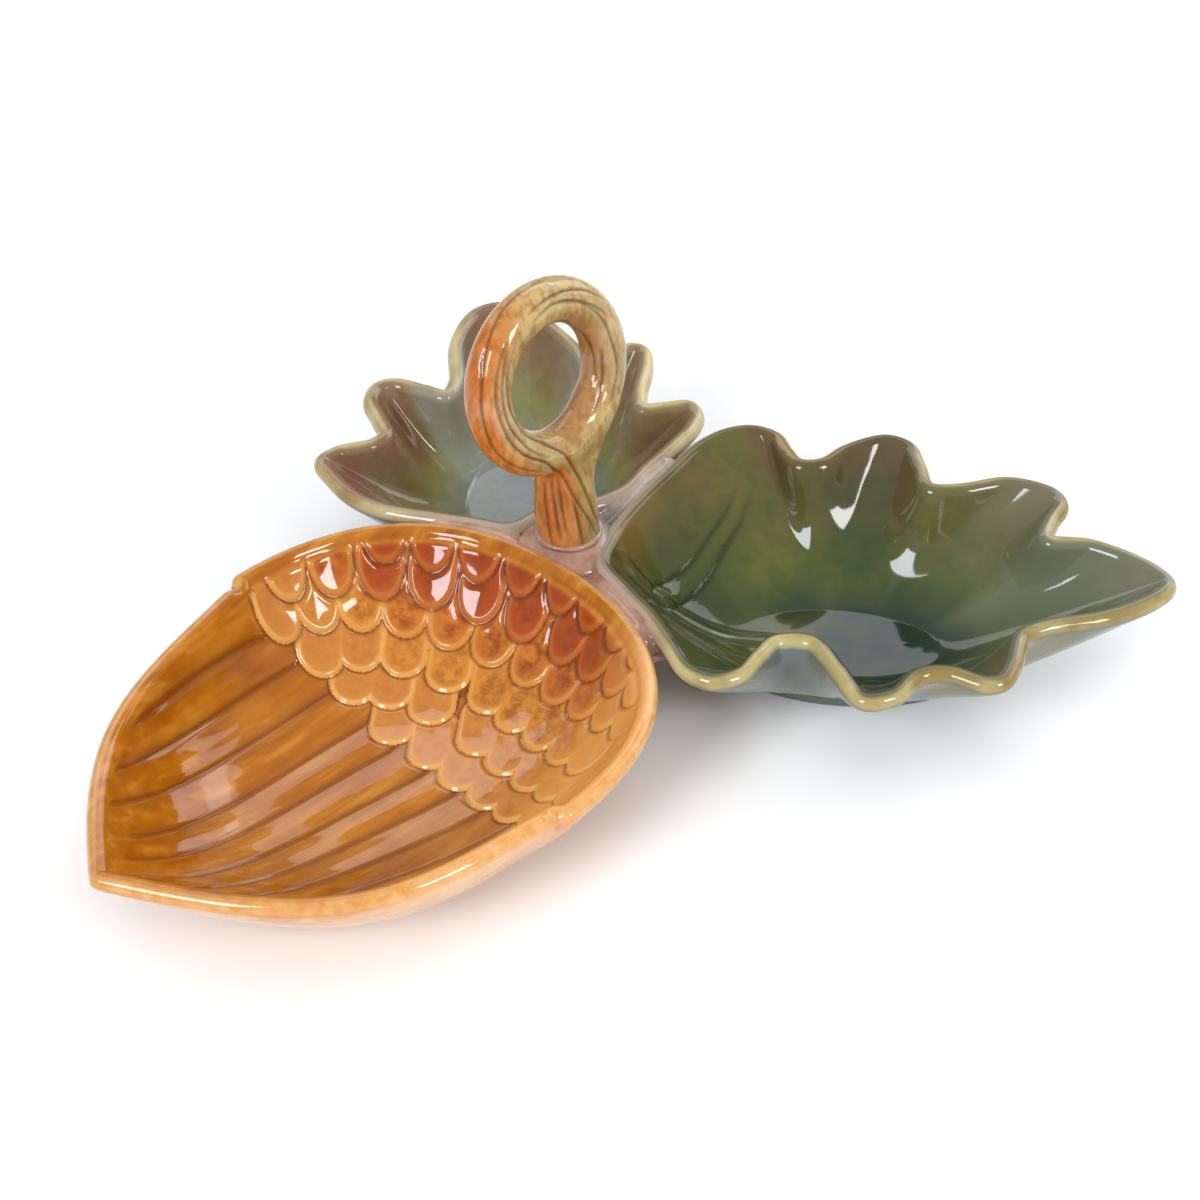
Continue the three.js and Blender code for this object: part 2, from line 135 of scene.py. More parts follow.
LEFT_LEAF = {
    "heading": 147.5, "shift": 1.0, "middle": 59.0, "stations": 720, "rings": 84, "vein_depth": 0.25,
    "floor": {"length": 94, "width": 68, "floor_share": 0.5, "foot_share": 0.52, "wall_curve": 2.0},
    "rim": [
        [19.5, 2], [20, -11.5], [24, -22.5], [33, -32], [42, -42.5], [48.5, -49], [54.5, -52.5], [60, -51.5],
        [61, -44], [62, -37.5], [68.5, -38], [83, -43.5], [91.5, -44.5], [93.5, -41], [90.5, -35.5],
        [88, -27], [96.5, -24.5], [108.5, -20], [118.5, -15.5], [125, -6], [123, 2.5], [108.5, 11.5],
        [89, 15.5], [82.5, 20], [86.5, 26], [92, 34.5], [91, 40], [84.5, 43], [75.5, 42], [67, 41.5],
        [63.5, 45.5], [62, 57], [58.5, 62], [50, 60], [40, 55.5], [32.5, 48.5], [25, 34.5], [20, 24.5],
        [15, 13.5],
    ],
    "veins": [
        [[24, 0], [50, -1], [90, -2], [116, -6]],
        [[34, 0], [42, 18], [50, 36], [56, 52]], [[58, -1], [70, 12], [80, 24], [87, 35]],
        [[34, 0], [42, -16], [49, -30], [55, -45]], [[60, -1], [72, -14], [80, -26], [88, -39]],
    ],
}

# How strongly the midrib, the first side vein and the other veins stand out, and where along them they fade
VEIN_STRENGTH = [1.0, 0.8, 0.03]
MIDRIB_END = (0.12, 0.42)
SIDE_VEIN_END = (0.5, 1.0)
VEIN_RIM_END = (0.9, 0.97)
VEIN_HALF = 2.3
VEIN_TAPER = 1.2
VEIN_RISE = 0.75
VEIN_CUT = 0.55
VEIN_CUT_PLACE = 0.8
VEIN_CUT_WIDTH = 0.6

# Colour masks of the leaves, notch and far placing painted reflection: the rim's reach over the floor oval's,
# shares up the wall, distances to the stem
LOBE_SPOKE = (0.95, 1.5)
LOBE_WALL = (0.66, 0.95)
NOTCH_SHEEN_SPOKE = (1.2, 0.9)
NOTCH_SHEEN_WALL = (0.4, 0.75)
NOTCH_SHEEN_REACH = (45, 85)
NEAR_REACH = (70, 26)
FAR_SHEEN_REACH = (95, 165)

# Cap scales in rows on half ovals. Each row: how burnt it is, its reach behind the ovals' middle, the turn of
# one scale in degrees, the step to the next ones on its left, and how many lie to its left and to its right
SCALE_ROWS = [
    (1.0, 59.0, -1.5, 12.0, 4, 4), (0.88, 51.5, 4.5, 13.7, 6, 4), (0.55, 43.0, 0.0, 14.3, 6, 4),
    (0.34, 31.0, -2.0, 19.5, 4, 4), (0.16, 18.5, 6.0, 25.0, 3, 4), (0.08, 5.5, 1.0, 35.0, 1, 4),
]
SCALE_MIDDLE = np.array([10.0, -74.0])
SCALE_LEFT = 20.0
SCALE_LEFT_SHARE = 0.8
SCALE_RIGHT = 75.0
SCALE_RIGHT_STEP = 9.5
SCALE_FRONT_WAY = np.array([0.62, -0.78])
SCALE_HALF = 7.0
SCALE_BODY = 9.0
SCALE_LIFT = 1.1
SCALE_EDGE = (-0.1, 1.2)
SCALE_UNDER = (-0.1, 1.5)
SCALE_TUCK = 0.7
SCALE_TUCK_LENGTH = 11.0
SCALE_TURN_REACH = (52, 25)
BURNT_Y = (-68, -42)
BURNT_X = (10, 36)
BURNT_RIGHT = 0.1
FAR_AWAY = 50.0
CAP_END_Y = -70.5

# Where the relief of the acorn runs out: towards the rim, and on the right wall
RELIEF_RIM_END = (0.972, 0.996)
RELIEF_RIGHT_END = (48, 62)

# Grooves of the nut: places across at the cap's edge, drawn in towards the tip and bowed to the left
GROOVES = np.array([-51.0, -43.5, -33.0, -18.5, -6.0, 7.5, 19.5, 31.0, 42.5, 53.0])
GROOVE_NARROWING = 0.62
GROOVE_CURVE = 1.35
GROOVE_BOW = 4.0
GROOVE_DEPTH = 0.5
GROOVE_WIDTH = 0.6
GROOVE_END = (0.7, 0.95)
RIB_HEIGHT = 0.35
RIB_HALF = 4.0

# Colour masks of the acorn, one a painted highlight along the scale edges
EDGE_HIGHLIGHT_PLACE = 0.7
EDGE_HIGHLIGHT_WIDTH = 0.65
GAP_WIDTH = 0.6
SHADE_WIDTH = 2.6
HEART = (0.8, 4.0)
PALE_X = (24, 54)
PALE_Y = (-150, -100)
PALE_SHARE = (0.5, 0.75)

# Handle: the stem's foot in plan and its height, then places from that foot
STEM = (-5.0, 4.0)
HANDLE_FOOT = 41.5
RING_RADIUS = 21.8
TWIG_RADIUS = 6.47
JOINT_BLEND = 2.6
RING_LEAN = math.radians(12.0)
RING_CENTRE = np.array([-4.0, -3.8, 96.5 - HANDLE_FOOT])
STEM_RADII = (8.9, 7.4, 5.3)
STEM_NECK_DROP = 8.4
SHOULDER_RADIUS = 5.9
SHOULDER_DROP = 17.0
SHOULDER_OFFSET = np.array([0, 1.2, 0])
SHOULDER_TURN = np.radians(136.0)
HANDLE_SIDES = 48
HANDLE_VOXEL = 0.55
HOLLOW_DEPTH = (0.15, 0.85)
HOLLOW_SIDE = (-9, 3)

# Bead round the stem's foot. Each wave of its thickness: how many go round, where it starts, and its height
BEAD_RADIUS = 0.9
BEAD_RING = 9.2
BEAD_SHARE = 0.86
BEAD_WAVES = [(3, 1.0, 0.08), (7, 0.0, 0.06)]
BEAD_LIFT = 0.8

# Saddle profile from its top down, each point (radius, height)
SADDLE_TOP = 41.2
SADDLE_BOTTOM = 24.0
SADDLE_RADIUS = 11.5
SADDLE_PROFILE = [
    (0.5, SADDLE_TOP), (5.0, SADDLE_TOP), (9.0, SADDLE_TOP), (9.8, 40.9), (10.6, 40.2), (11.5, 39.3),
    (12.8, 38.3), (14.2, 37.4), (15.0, 36.8), (14.8, 35.8), (13.0, 33.5), (SADDLE_RADIUS, 31.0),
    (SADDLE_RADIUS, SADDLE_BOTTOM), (0.5, SADDLE_BOTTOM),
]

# Seams between the rims
SEAM_FILLET = 3.0
SEAM_OVERLAP = 0.8
SEAM_BITE = 0.6
SEAM_FOOT = 3.0
SEAM_BOTTOM = 30.5
SEAM_DIVE = 5.0
SEAM_DIVE_START = 0.82

# Bark cuts: their size, and how they run out at both ends
BARK_WIDTH = 0.48
BARK_DEPTH = 0.5
BARK_ENDS = (0.03, 0.97)
BARK_TAPER = 0.4

# Bark lines on the ring, each point [degrees round the ring from its top, degrees round the twig]
RING_BARK = [
    [[10, 6], [-25, 4], [-65, 30], [-110, 33], [-148, 52]],
    [[-44, 70], [-85, 91], [-120, 103], [-154, 94]],
    [[-16, 62], [12, 57], [52, 52]], [[-15, 85], [3, 76], [37, 86], [61, 81]],
    [[38, 91], [80, 104], [110, 95], [130, 100]], [[-46, 16], [-60, 22]],
    [[55, 167], [117, 154]], [[88, 140], [144, 129]], [[-40, -62], [120, -66]], [[-150, -96], [20, -90]],
    [[30, -120], [170, -112]], [[-170, -130], [-60, -124]], [[-110, -148], [40, -152]],
    [[60, -30], [150, -26]], [[-60, 146], [30, 150]],
]

# Bark lines on the stem, each point [height, degrees round the stem]
STEM_BARK = [
    [[24, -88], [12, -80], [2, -76]], [[27, -69], [4, -56]], [[27, -52], [8, -46]], [[20, -26], [1, -16]],
    [[26, 84], [2, 78]], [[20, 112], [1, 106]], [[22, 142], [3, 138]], [[18, 170], [1, 172]],
    [[24, 204], [2, 198]], [[18, 226], [2, 222]],
]

# Bark lines that run from the ring down the stem
FLOWING_BARK = [
    ([[-40, 58], [-70, 64], [-100, 78], [-150, 85]], [[26, -37], [14, -8], [0, 24]]),
    ([[-40, 83], [-75, 104], [-110, 132], [-145, 135], [-168, 103]], [[26, -2], [10, 18], [0, 38]]),
]

# The part's own origin in the frame, found from the saddle under the stem
saddle_lo, saddle_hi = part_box("centre_saddle")
ORIGIN = np.array([
    (saddle_lo.x + saddle_hi.x) / 2 - STEM[0] / 1000,
    (saddle_lo.y + saddle_hi.y) / 2 - STEM[1] / 1000,
    0.0,
])
BOX_MARGIN = 1e-5


def to_frame(points):
    return np.asarray(points) / 1000 + ORIGIN


def frame_span(span):
    return [float(ORIGIN[1]) + y / 1000 for y in span]


def in_box(points):
    return np.clip(points, np.array(cad_box[0]) + BOX_MARGIN, np.array(cad_box[1]) - BOX_MARGIN)


def smooth(low, high, value):
    share = np.clip((value - low) / (high - low), 0, 1)
    return share * share * (3 - 2 * share)


def turns(count):
    return np.linspace(0, 2 * math.pi, count, endpoint=False)


def circle(turn):
    return np.column_stack([np.cos(turn), np.sin(turn)])


def raised(plan, z):
    return np.column_stack([plan, np.full(len(plan), z)])


def unit(vectors):
    return vectors / np.linalg.norm(vectors, axis=-1, keepdims=True)


def hump(value, width):
    return np.exp(-(value / width) ** 2)


def summed(steps):
    return np.concatenate([[0], np.cumsum(steps)])


# Plan outlines

def bezier(a, b, c, d, steps=200):
    t = np.linspace(0, 1, steps, endpoint=False)[:, None]
    a, b, c, d = (np.array(p, float) for p in (a, b, c, d))
    return a * (1 - t) ** 3 + 3 * b * t * (1 - t) ** 2 + 3 * c * t * t * (1 - t) + d * t ** 3


def acorn_outline(steps=20):
    nut_top = SHOULDER_Y - CAP_STEP_LENGTH
    nut_half = CAP_HALF - CAP_STEP
    pull_x = NUT_TIP_PULL * math.sin(NUT_TIP_ANGLE)
    pull_y = TIP_Y + NUT_TIP_PULL * math.cos(NUT_TIP_ANGLE)
    side_x = nut_half - NUT_SHOULDER_SLOPE * NUT_SHOULDER_PULL
    cap_side = SHOULDER_Y + CAP_ROUNDNESS * CAP_LENGTH
    skewed = AXIS_X + NUT_SKEW
    share = np.linspace(0, 1, steps, endpoint=False)[:, None]

    def half(way):
        """Corners from the tip to the back, on the right with way 1 and on the left with way -1."""
        return np.array([
            (AXIS_X + NUT_TIP_SHIFT, TIP_Y), (skewed + way * pull_x, pull_y),
            (skewed + way * side_x, nut_top - NUT_SHOULDER_PULL), (AXIS_X + way * nut_half, nut_top),
            (AXIS_X + way * CAP_HALF, SHOULDER_Y), (AXIS_X + way * CAP_HALF, cap_side),
            (AXIS_X + way * CAP_ROUNDNESS * CAP_HALF, BACK_Y), (AXIS_X, BACK_Y),
        ])

    outline = []
    for corners in (half(1), half(-1)[::-1]):
        step = corners[3] + (corners[4] - corners[3]) * share
        outline += [bezier(*corners[:4]), step, bezier(*corners[4:])]
    return np.vstack(outline)


def leaf_to_plan(points, heading, shift):
    along, left = np.asarray(points, float).T
    angle = math.radians(heading)
    left = left + shift
    return np.column_stack([
        along * math.cos(angle) - left * math.sin(angle),
        along * math.sin(angle) + left * math.cos(angle),
    ])


def leaf_outline(corners, heading, shift, steps=24):
    p1 = leaf_to_plan(corners, heading, shift)
    p0, p2, p3 = np.roll(p1, 1, 0), np.roll(p1, -1, 0), np.roll(p1, -2, 0)
    gap = [np.sqrt(np.linalg.norm(b - a, axis=1))[:, None] for a, b in ((p0, p1), (p1, p2), (p2, p3))]
    start = ((p1 - p0) / gap[0] - (p2 - p0) / (gap[0] + gap[1]) + (p2 - p1) / gap[1]) * gap[1]
    end = ((p2 - p1) / gap[1] - (p3 - p1) / (gap[1] + gap[2]) + (p3 - p2) / gap[2]) * gap[1]
    t = np.linspace(0, 1, steps, endpoint=False)[None, :, None]
    p1, p2, start, end = (p[:, None, :] for p in (p1, p2, start, end))
    curve = p1 + start * t + (3 * (p2 - p1) - 2 * start - end) * t ** 2
    return (curve + (2 * (p1 - p2) + start + end) * t ** 3).reshape(-1, 2)


def run(line):
    """How far along a line each of its points lies."""
    return summed(np.linalg.norm(np.diff(line, axis=0), axis=1))


def redrawn(line, at):
    return np.column_stack([np.interp(at, run(line), values) for values in line.T])


def spaced(outline, count):
    closed = np.vstack([outline, outline[:1]])
    return redrawn(closed, np.linspace(0, run(closed)[-1], count, endpoint=False))


# Bowls

def eased(bearing):
    span = round(BEARING_EASE * len(bearing))
    lap = 2 * math.pi
    total = summed(np.concatenate([bearing[-span:] - lap, bearing, bearing[:span] + lap]))
    window = 2 * span + 1
    return (total[window:] - total[:-window]) / window


class Bowl:
    def __init__(self, rim, centre, heading, length, width, floor_share, foot_share, wall_curve, flare_curve,
                 flute_fade):
        self.rim = rim
        self.flare_curve = flare_curve
        self.flute_fade = flute_fade
        self.centre = np.array(centre)
        self.floor_share = floor_share
        self.foot_share = foot_share
        self.wall_curve = wall_curve
        spoke = rim - self.centre
        heading = math.radians(heading)
        bearing = eased(eased(np.unwrap(np.arctan2(spoke[:, 1], spoke[:, 0])) - heading))
        reach = 0.5 / np.hypot(np.cos(bearing) / length, np.sin(bearing) / width)
        self.floor = circle(bearing + heading) * reach[:, None]

    def middle(self, share):
        share = np.atleast_1d(share)
        flare = (np.maximum(0, (share - FLARE_START) / (1 - FLARE_START)) ** self.flare_curve)[:, None, None]
        plan = self.centre + self.floor * share[:, None, None] + self.spread(share) * flare
        climb = np.maximum(0, (share - self.floor_share) / (1 - self.floor_share)) ** self.wall_curve
        height = FLOOR_LEVEL + (RIM_LEVEL - FLOOR_LEVEL) * climb
        return np.concatenate([plan, np.broadcast_to(height[:, None, None], plan.shape[:2] + (1,))], 2)

    def spread(self, share):
        """How far the rim stands out from the oval, its lobes softened the further down the wall it is."""
        step = np.linalg.norm(self.rim[1] - self.rim[0])
        waves = np.fft.rfft(self.rim - self.centre - self.floor, axis=0)
        turns = 2 * math.pi * np.fft.rfftfreq(len(self.rim), step)
        reach = self.flute_fade * np.maximum(0, 1 - share)
        kept = np.exp(-0.5 * (turns[None] * reach[:, None]) ** 2)
        return np.fft.irfft(waves[None] * kept[:, :, None], len(self.rim), axis=1)

    def directions(self, share, step=1e-3):
        share = np.atleast_1d(share)
        point = self.middle(share)
        along = np.roll(point, -1, 1) - np.roll(point, 1, 1)
        climb = self.middle(share + step) - self.middle(share - step)
        inward = unit(np.cross(climb, along))
        return point, inward, unit(np.cross(along, inward))

    def even_shares(self, low, high, count, trials=400):
        trial = np.linspace(low, high, trials)
        length = summed(np.linalg.norm(np.diff(self.middle(trial), axis=0), axis=2).mean(1))
        return np.interp(np.linspace(0, length[-1], count), length, trial)


def dish_object(name, bowl, inner_count, relief, notch=0.0, lip_steps=15, outer_count=26):
    """One bowl's skin in rings: inside, rounded rim, outside, foot. relief gives heights and masks inside."""
    inner = bowl.even_shares(*INNER_SHARES, inner_count)
    point, inward, _ = bowl.directions(inner)
    base = point + inward * HALF_WALL
    height, masks = relief(base, inner)
    rows = [base + inward * height[:, :, None]]
    arc = np.linspace(0, 1, lip_steps)
    point, inward, outward = bowl.directions(1.0)
    lip = math.pi * arc[:, None, None]
    lip_rings = point + HALF_WALL * (np.cos(lip) * inward + np.sin(lip) * outward)
    lip_rings[:, :, 2] -= np.sin(lip[:, :, 0]) * notch
    rows.append(lip_rings)
    outer = bowl.even_shares(bowl.foot_share, OUTER_TOP_SHARE, outer_count)[::-1]
    point, inward, _ = bowl.directions(outer)
    rows.append(point - inward * HALF_WALL)
    foot_top = rows[-1][-1]
    spoke = foot_top[:, :2] - bowl.centre
    reach = np.linalg.norm(spoke, axis=1)[:, None]
    foot = [
        (0.0, FOOT_ROUND), (FOOT_CORNER, FOOT_CORNER), (FOOT_ROUND, 0.0),
        (FOOT_WIDTH - FOOT_ROUND, 0.0), (FOOT_WIDTH, FOOT_ROUND), (FOOT_WIDTH, FOOT_HEIGHT),
    ]
    for inset, z in foot:
        rows.append(raised(bowl.centre + spoke * (1 - inset / reach), z)[None])
    grid = np.concatenate(rows)
    shape = grid.shape[:2]
    lip_rows = slice(inner_count, inner_count + len(arc))
    rimness = np.zeros(shape)
    crest = smooth(*CREST_START, arc) * smooth(*CREST_END, arc)
    rimness[lip_rows] = crest[:, None]
    outside = np.zeros(shape)
    outside[lip_rows] = smooth(*OUTSIDE_START, arc)[:, None]
    outside[lip_rows.stop:] = 1
    wall = np.ones(shape)
    wall[:inner_count] = inner[:, None]
    attributes = {"rim": rimness, "outside": outside, "wall": wall}
    for key, values in masks.items():
        full = np.zeros(shape)
        full[:inner_count] = values
        full[inner_count:lip_rows.stop] = values[-1]
        attributes[key] = full
    return closed_rings(name, grid, attributes, inner_count + len(arc) // 2)


def closed_rings(name, grid, attributes, split):
    """A mesh of rings closed at both ends by a middle point, mapped as two discs that meet at one ring."""
    rings, stations = grid.shape[:2]
    top, bottom = grid[0].mean(0), grid[-1].mean(0)
    points = np.vstack([top, grid.reshape(-1, 3), bottom])
    index = 1 + np.arange(rings * stations).reshape(rings, stations)
    after = np.roll(index, -1, 1)
    quads = np.stack([index[:-1], index[1:], after[1:], after[:-1]], 2).reshape(-1, 4)
    last = len(points) - 1
    caps = np.vstack([
        np.column_stack([np.zeros(stations, int), index[0], after[0]]),
        np.column_stack([np.full(stations, last), after[-1], index[-1]]),
    ])
    values = {
        key: np.concatenate([[v[0].mean()], v.ravel(), [v[-1].mean()]]) for key, v in attributes.items()
    }
    obj = mesh_object(name, points, quads, caps, values)
    length = summed(np.linalg.norm(np.diff(grid, axis=0), axis=2).mean(1) + RING_GAP)
    ring = circle(turns(stations))
    shares = (length / length[split], (length[-1] - length) / (length[-1] - length[split]))
    discs = []
    for middle, share in zip(DISC_MIDDLES, shares):
        reach = DISC_HOLE + DISC_REACH * share
        flat = np.array(middle) + ring[None] * reach[:, None, None] * DISC_STRETCH
        discs.append(np.vstack([middle, flat.reshape(-1, 2), middle]))
    corner = np.concatenate([quads.ravel(), caps.ravel()])
    ring_of_quad = np.repeat(np.repeat(np.arange(rings - 1), stations), 4)
    below = np.concatenate([ring_of_quad >= split, np.repeat([False, True], stations * 3)])
    uv = np.where(below[:, None], discs[1][corner], discs[0][corner])
    layer = obj.data.uv_layers.new(name="OFBake")
    layer.data.foreach_set("uv", np.clip(uv, 0, 1).astype(np.float32).ravel())
    return obj


def linked(name, data):
    obj = bpy.data.objects.new(name, data)
    bpy.context.scene.collection.objects.link(obj)
    return obj


def add_masks(mesh, values):
    for key, value in values.items():
        mesh.attributes.new(key, "FLOAT", "POINT").data.foreach_set("value", value.astype(np.float32))


def mesh_object(name, points, quads, triangles, values):
    mesh = bpy.data.meshes.new(name)
    corner = np.concatenate([np.asarray(quads).ravel(), np.asarray(triangles).ravel()]).astype(np.int32)
    start = np.concatenate([
        np.arange(len(quads)) * 4,
        len(quads) * 4 + np.arange(len(triangles)) * 3,
    ]).astype(np.int32)
    mesh.vertices.add(len(points))
    mesh.vertices.foreach_set("co", in_box(to_frame(points)).astype(np.float32).ravel())
    mesh.loops.add(len(corner))
    mesh.loops.foreach_set("vertex_index", corner)
    mesh.polygons.add(len(start))
    mesh.polygons.foreach_set("loop_start", start)
    mesh.update(calc_edges=True)
    mesh.validate()
    mesh.shade_smooth()
    add_masks(mesh, values)
    return linked(name, mesh)


# Relief of the acorn: scales in the cap, ribs between grooves in the nut

def scale_row(reach, start, step, left_count, right_count):
    """The tips of one row of scales and the way each points: square to its oval, turned in the front rows."""
    places = [start - step * number for number in range(left_count, 0, -1)]
    places += [start + SCALE_RIGHT_STEP * number for number in range(right_count + 1)]
    turn = np.radians(places)
    half = np.where(turn < 0, SCALE_LEFT + SCALE_LEFT_SHARE * reach, SCALE_RIGHT)
    tips = SCALE_MIDDLE + np.column_stack([half * np.sin(turn), reach * np.cos(turn)])
    square = -unit(np.column_stack([np.sin(turn) / half, np.cos(turn) / reach]))
    front = smooth(*SCALE_TURN_REACH, reach)
    return tips, unit(square * (1 - front) + SCALE_FRONT_WAY * front)


def scale_depth(x, y, tip, forward):
    """How far inside a scale each point lies: a round end at the tip with the body running back."""
    along = (x - tip[0]) * forward[0] + (y - tip[1]) * forward[1] + SCALE_HALF
    across = (x - tip[0]) * forward[1] - (y - tip[1]) * forward[0]
    return SCALE_HALF - np.hypot(across, along - np.clip(along, -SCALE_BODY, 0))


def acorn_relief(base, share):
    x, y = base[:, :, 0], base[:, :, 1]
    own = np.zeros_like(x)
    over = np.full_like(x, FAR_AWAY)
    back = np.zeros_like(x)
    taken = np.zeros(x.shape, bool)
    for row_tone, *row in SCALE_ROWS:
        depth = np.full_like(x, -FAR_AWAY)
        burnt = np.zeros_like(x)
        for tip, forward in zip(*scale_row(*row)):
            inside = scale_depth(x, y, tip, forward)
            tone = row_tone * smooth(*BURNT_Y, tip[1]) + BURNT_RIGHT * smooth(*BURNT_X, tip[0])
            burnt = np.where(inside > depth, tone, burnt)
            depth = np.maximum(depth, inside)
        won = (depth >= 0) & ~taken
        own[won] = depth[won]
        back[won] = burnt[won]
        taken |= won
        missed = ~taken
        over[missed] = np.minimum(over[missed], -depth[missed])
    way = np.clip((CAP_END_Y - y) / (CAP_END_Y - TIP_Y), 0, 1)
    narrow = 1 - GROOVE_NARROWING * way ** GROOVE_CURVE
    across = (x - AXIS_X - NUT_TIP_SHIFT + GROOVE_BOW * np.sin(math.pi * way)) / narrow
    near = np.abs(across[:, :, None] - GROOVES).min(2) * narrow
    shown = 1 - smooth(*GROOVE_END, way)
    nut = ~taken
    groove = np.where(nut, hump(near, GROOVE_WIDTH), 0) * shown
    rib = RIB_HEIGHT * (1 - hump(near, RIB_HALF)) * shown
    tucked = 1 - SCALE_TUCK * np.clip(own / SCALE_TUCK_LENGTH, 0, 1)
    height = np.where(taken, SCALE_LIFT * tucked * smooth(*SCALE_EDGE, own), rib - GROOVE_DEPTH * groove)
    height = height * smooth(*SCALE_UNDER, over)
    right_wall = smooth(*PALE_X, x) * smooth(*PALE_Y, y)
    fade = (1 - smooth(*RELIEF_RIM_END, share[:, None])) * (1 - smooth(*RELIEF_RIGHT_END, x))
    masks = {
        # A painted highlight along the scale edges
        "edge_highlight": np.where(taken, hump(own - EDGE_HIGHLIGHT_PLACE, EDGE_HIGHLIGHT_WIDTH), 0) * fade,
        "gap": hump(over, GAP_WIDTH) * fade,
        "groove": groove * fade,
        "shade": np.where(nut, hump(near, SHADE_WIDTH), 0) * shown * fade,
        "cap": taken * fade,
        "back": back * fade,
        "pale": right_wall * smooth(*PALE_SHARE, share)[:, None],
        "heart": np.where(taken, smooth(*HEART, own), 0) * fade,
    }
    return height * fade, masks


# Relief of a leaf: raised veins between two pressed lines

def polyline_distance(points, line):
    best = np.full(points.shape[:-1], 1e9)
    place = np.zeros(points.shape[:-1])
    for number, (a, b) in enumerate(zip(line[:-1], line[1:])):
        step = b - a
        share = np.clip(((points - a) @ step) / (step @ step), 0, 1)
        gap = np.linalg.norm(points - a - share[..., None] * step, axis=-1)
        closer = gap < best
        best = np.where(closer, gap, best)
        place = np.where(closer, (number + share) / (len(line) - 1), place)
    return best, place


def leaf_relief(bowl, veins, heading, shift, depth):
    def relief(base, share):
        plan = base[:, :, :2]
        height = np.zeros(plan.shape[:2])
        dark = np.zeros(plan.shape[:2])
        for number, vein in enumerate(veins):
            gap, place = polyline_distance(plan, leaf_to_plan(vein, heading, shift))
            fading = smooth(*(MIDRIB_END if number == 0 else SIDE_VEIN_END), place)
            strength = VEIN_STRENGTH[min(number, 2)] * (1 - fading)
            half = VEIN_HALF - VEIN_TAPER * place
            ridge = hump(gap, half)
            pressed = hump(gap - half - VEIN_CUT_PLACE, VEIN_CUT_WIDTH)
            height += strength * (VEIN_RISE * ridge - VEIN_CUT * pressed)
            dark = np.maximum(dark, strength * pressed)
        fade = 1 - smooth(*VEIN_RIM_END, share)[:, None]
        spoke = np.linalg.norm(bowl.rim - bowl.centre, axis=1) / np.linalg.norm(bowl.floor, axis=1)
        centre = np.hypot(base[:, :, 0] - STEM[0], base[:, :, 1] - STEM[1])
        # Ridges between the lobes up the wall, where a painted reflection goes
        notch = smooth(*NOTCH_SHEEN_SPOKE, spoke)[None] * smooth(*NOTCH_SHEEN_WALL, share)[:, None]
        masks = {
            "vein": depth * dark * fade,
            "lobe": smooth(*LOBE_SPOKE, spoke)[None] * smooth(*LOBE_WALL, share)[:, None],
            "notch": notch * smooth(*NOTCH_SHEEN_REACH, centre),
            "near": smooth(*NEAR_REACH, centre),
            # The far end, where a painted grey reflection goes
            "far": smooth(*FAR_SHEEN_REACH, centre),
        }
        return depth * height * fade, masks
    return relief


def make_leaf(name, heading, shift, middle, stations, rings, vein_depth, floor, rim, veins):
    bowl = Bowl(
        spaced(leaf_outline(rim, heading, shift), stations), leaf_to_plan([[middle, 0]], heading, shift)[0],
        heading, **floor, **LEAF_FLARE,
    )
    relief = leaf_relief(bowl, veins, heading, shift, vein_depth)
    return bowl, dish_object(name, bowl, rings, relief)


acorn = Bowl(
    spaced(acorn_outline(), ACORN_STATIONS), (AXIS_X, TIP_Y + ACORN_MIDDLE), ACORN_HEADING,
    **ACORN_FLOOR, **ACORN_FLARE,
)
cap_notch = NOTCH_DEPTH * hump(acorn.rim[:, 1] - SHOULDER_Y + NOTCH_BACK, NOTCH_LENGTH)
acorn_dish = dish_object("acorn_bowl_glazed", acorn, ACORN_RINGS, acorn_relief, cap_notch)
right_leaf, right_dish = make_leaf("right_leaf_glazed", **RIGHT_LEAF)
left_leaf, left_dish = make_leaf("left_leaf_glazed", **LEFT_LEAF)


# Seams: a web between two rims, its top a hollow that is tangent to both

def seam_object(name, bowl, other, end_degrees, steps=90, arc_steps=9, least_rise=0.01):
    """A seam from the stem to a bearing round the first bowl's middle."""
    start = math.atan2(STEM[1] - bowl.centre[1], STEM[0] - bowl.centre[0]) % (2 * math.pi)
    bearing = np.linspace(start, math.radians(end_degrees), steps)
    dives = SEAM_DIVE * smooth(SEAM_DIVE_START, 1.0, np.linspace(0, 1, steps))
    spoke = bowl.rim - bowl.centre
    rim_bearing = np.arctan2(spoke[:, 1], spoke[:, 0])
    sections = []
    for angle, dive in zip(bearing, dives):
        turn = np.angle(np.exp(1j * (rim_bearing - angle)))
        own = bowl.rim[np.argmin(np.abs(turn))]
        gaps = np.linalg.norm(other.rim - own, axis=1)
        far = other.rim[np.argmin(gaps)]
        half = gaps.min() / 2
        across = (far - own) / (2 * half)
        middle = (own + far) / 2
        radius = max(SEAM_FILLET, half - HALF_WALL + SEAM_OVERLAP)
        rise = math.sqrt(max((HALF_WALL + radius) ** 2 - half ** 2, least_rise))
        swing = math.atan2(half, rise)
        section = []
        for tilt in np.linspace(-swing, swing, arc_steps):
            section.append((radius * math.sin(tilt), RIM_LEVEL + rise - radius * math.cos(tilt) - dive))
        shoulder = RIM_LEVEL - SEAM_BITE - dive
        section.append((half + SEAM_BITE, shoulder))
        section += [(half + SEAM_FOOT, SEAM_BOTTOM), (-half - SEAM_FOOT, SEAM_BOTTOM)]
        section.append((-half - SEAM_BITE, shoulder))
        sections.append([(*(middle + across * s), z) for s, z in section])
    return closed_rings(name, np.array(sections), {}, len(sections) // 2)


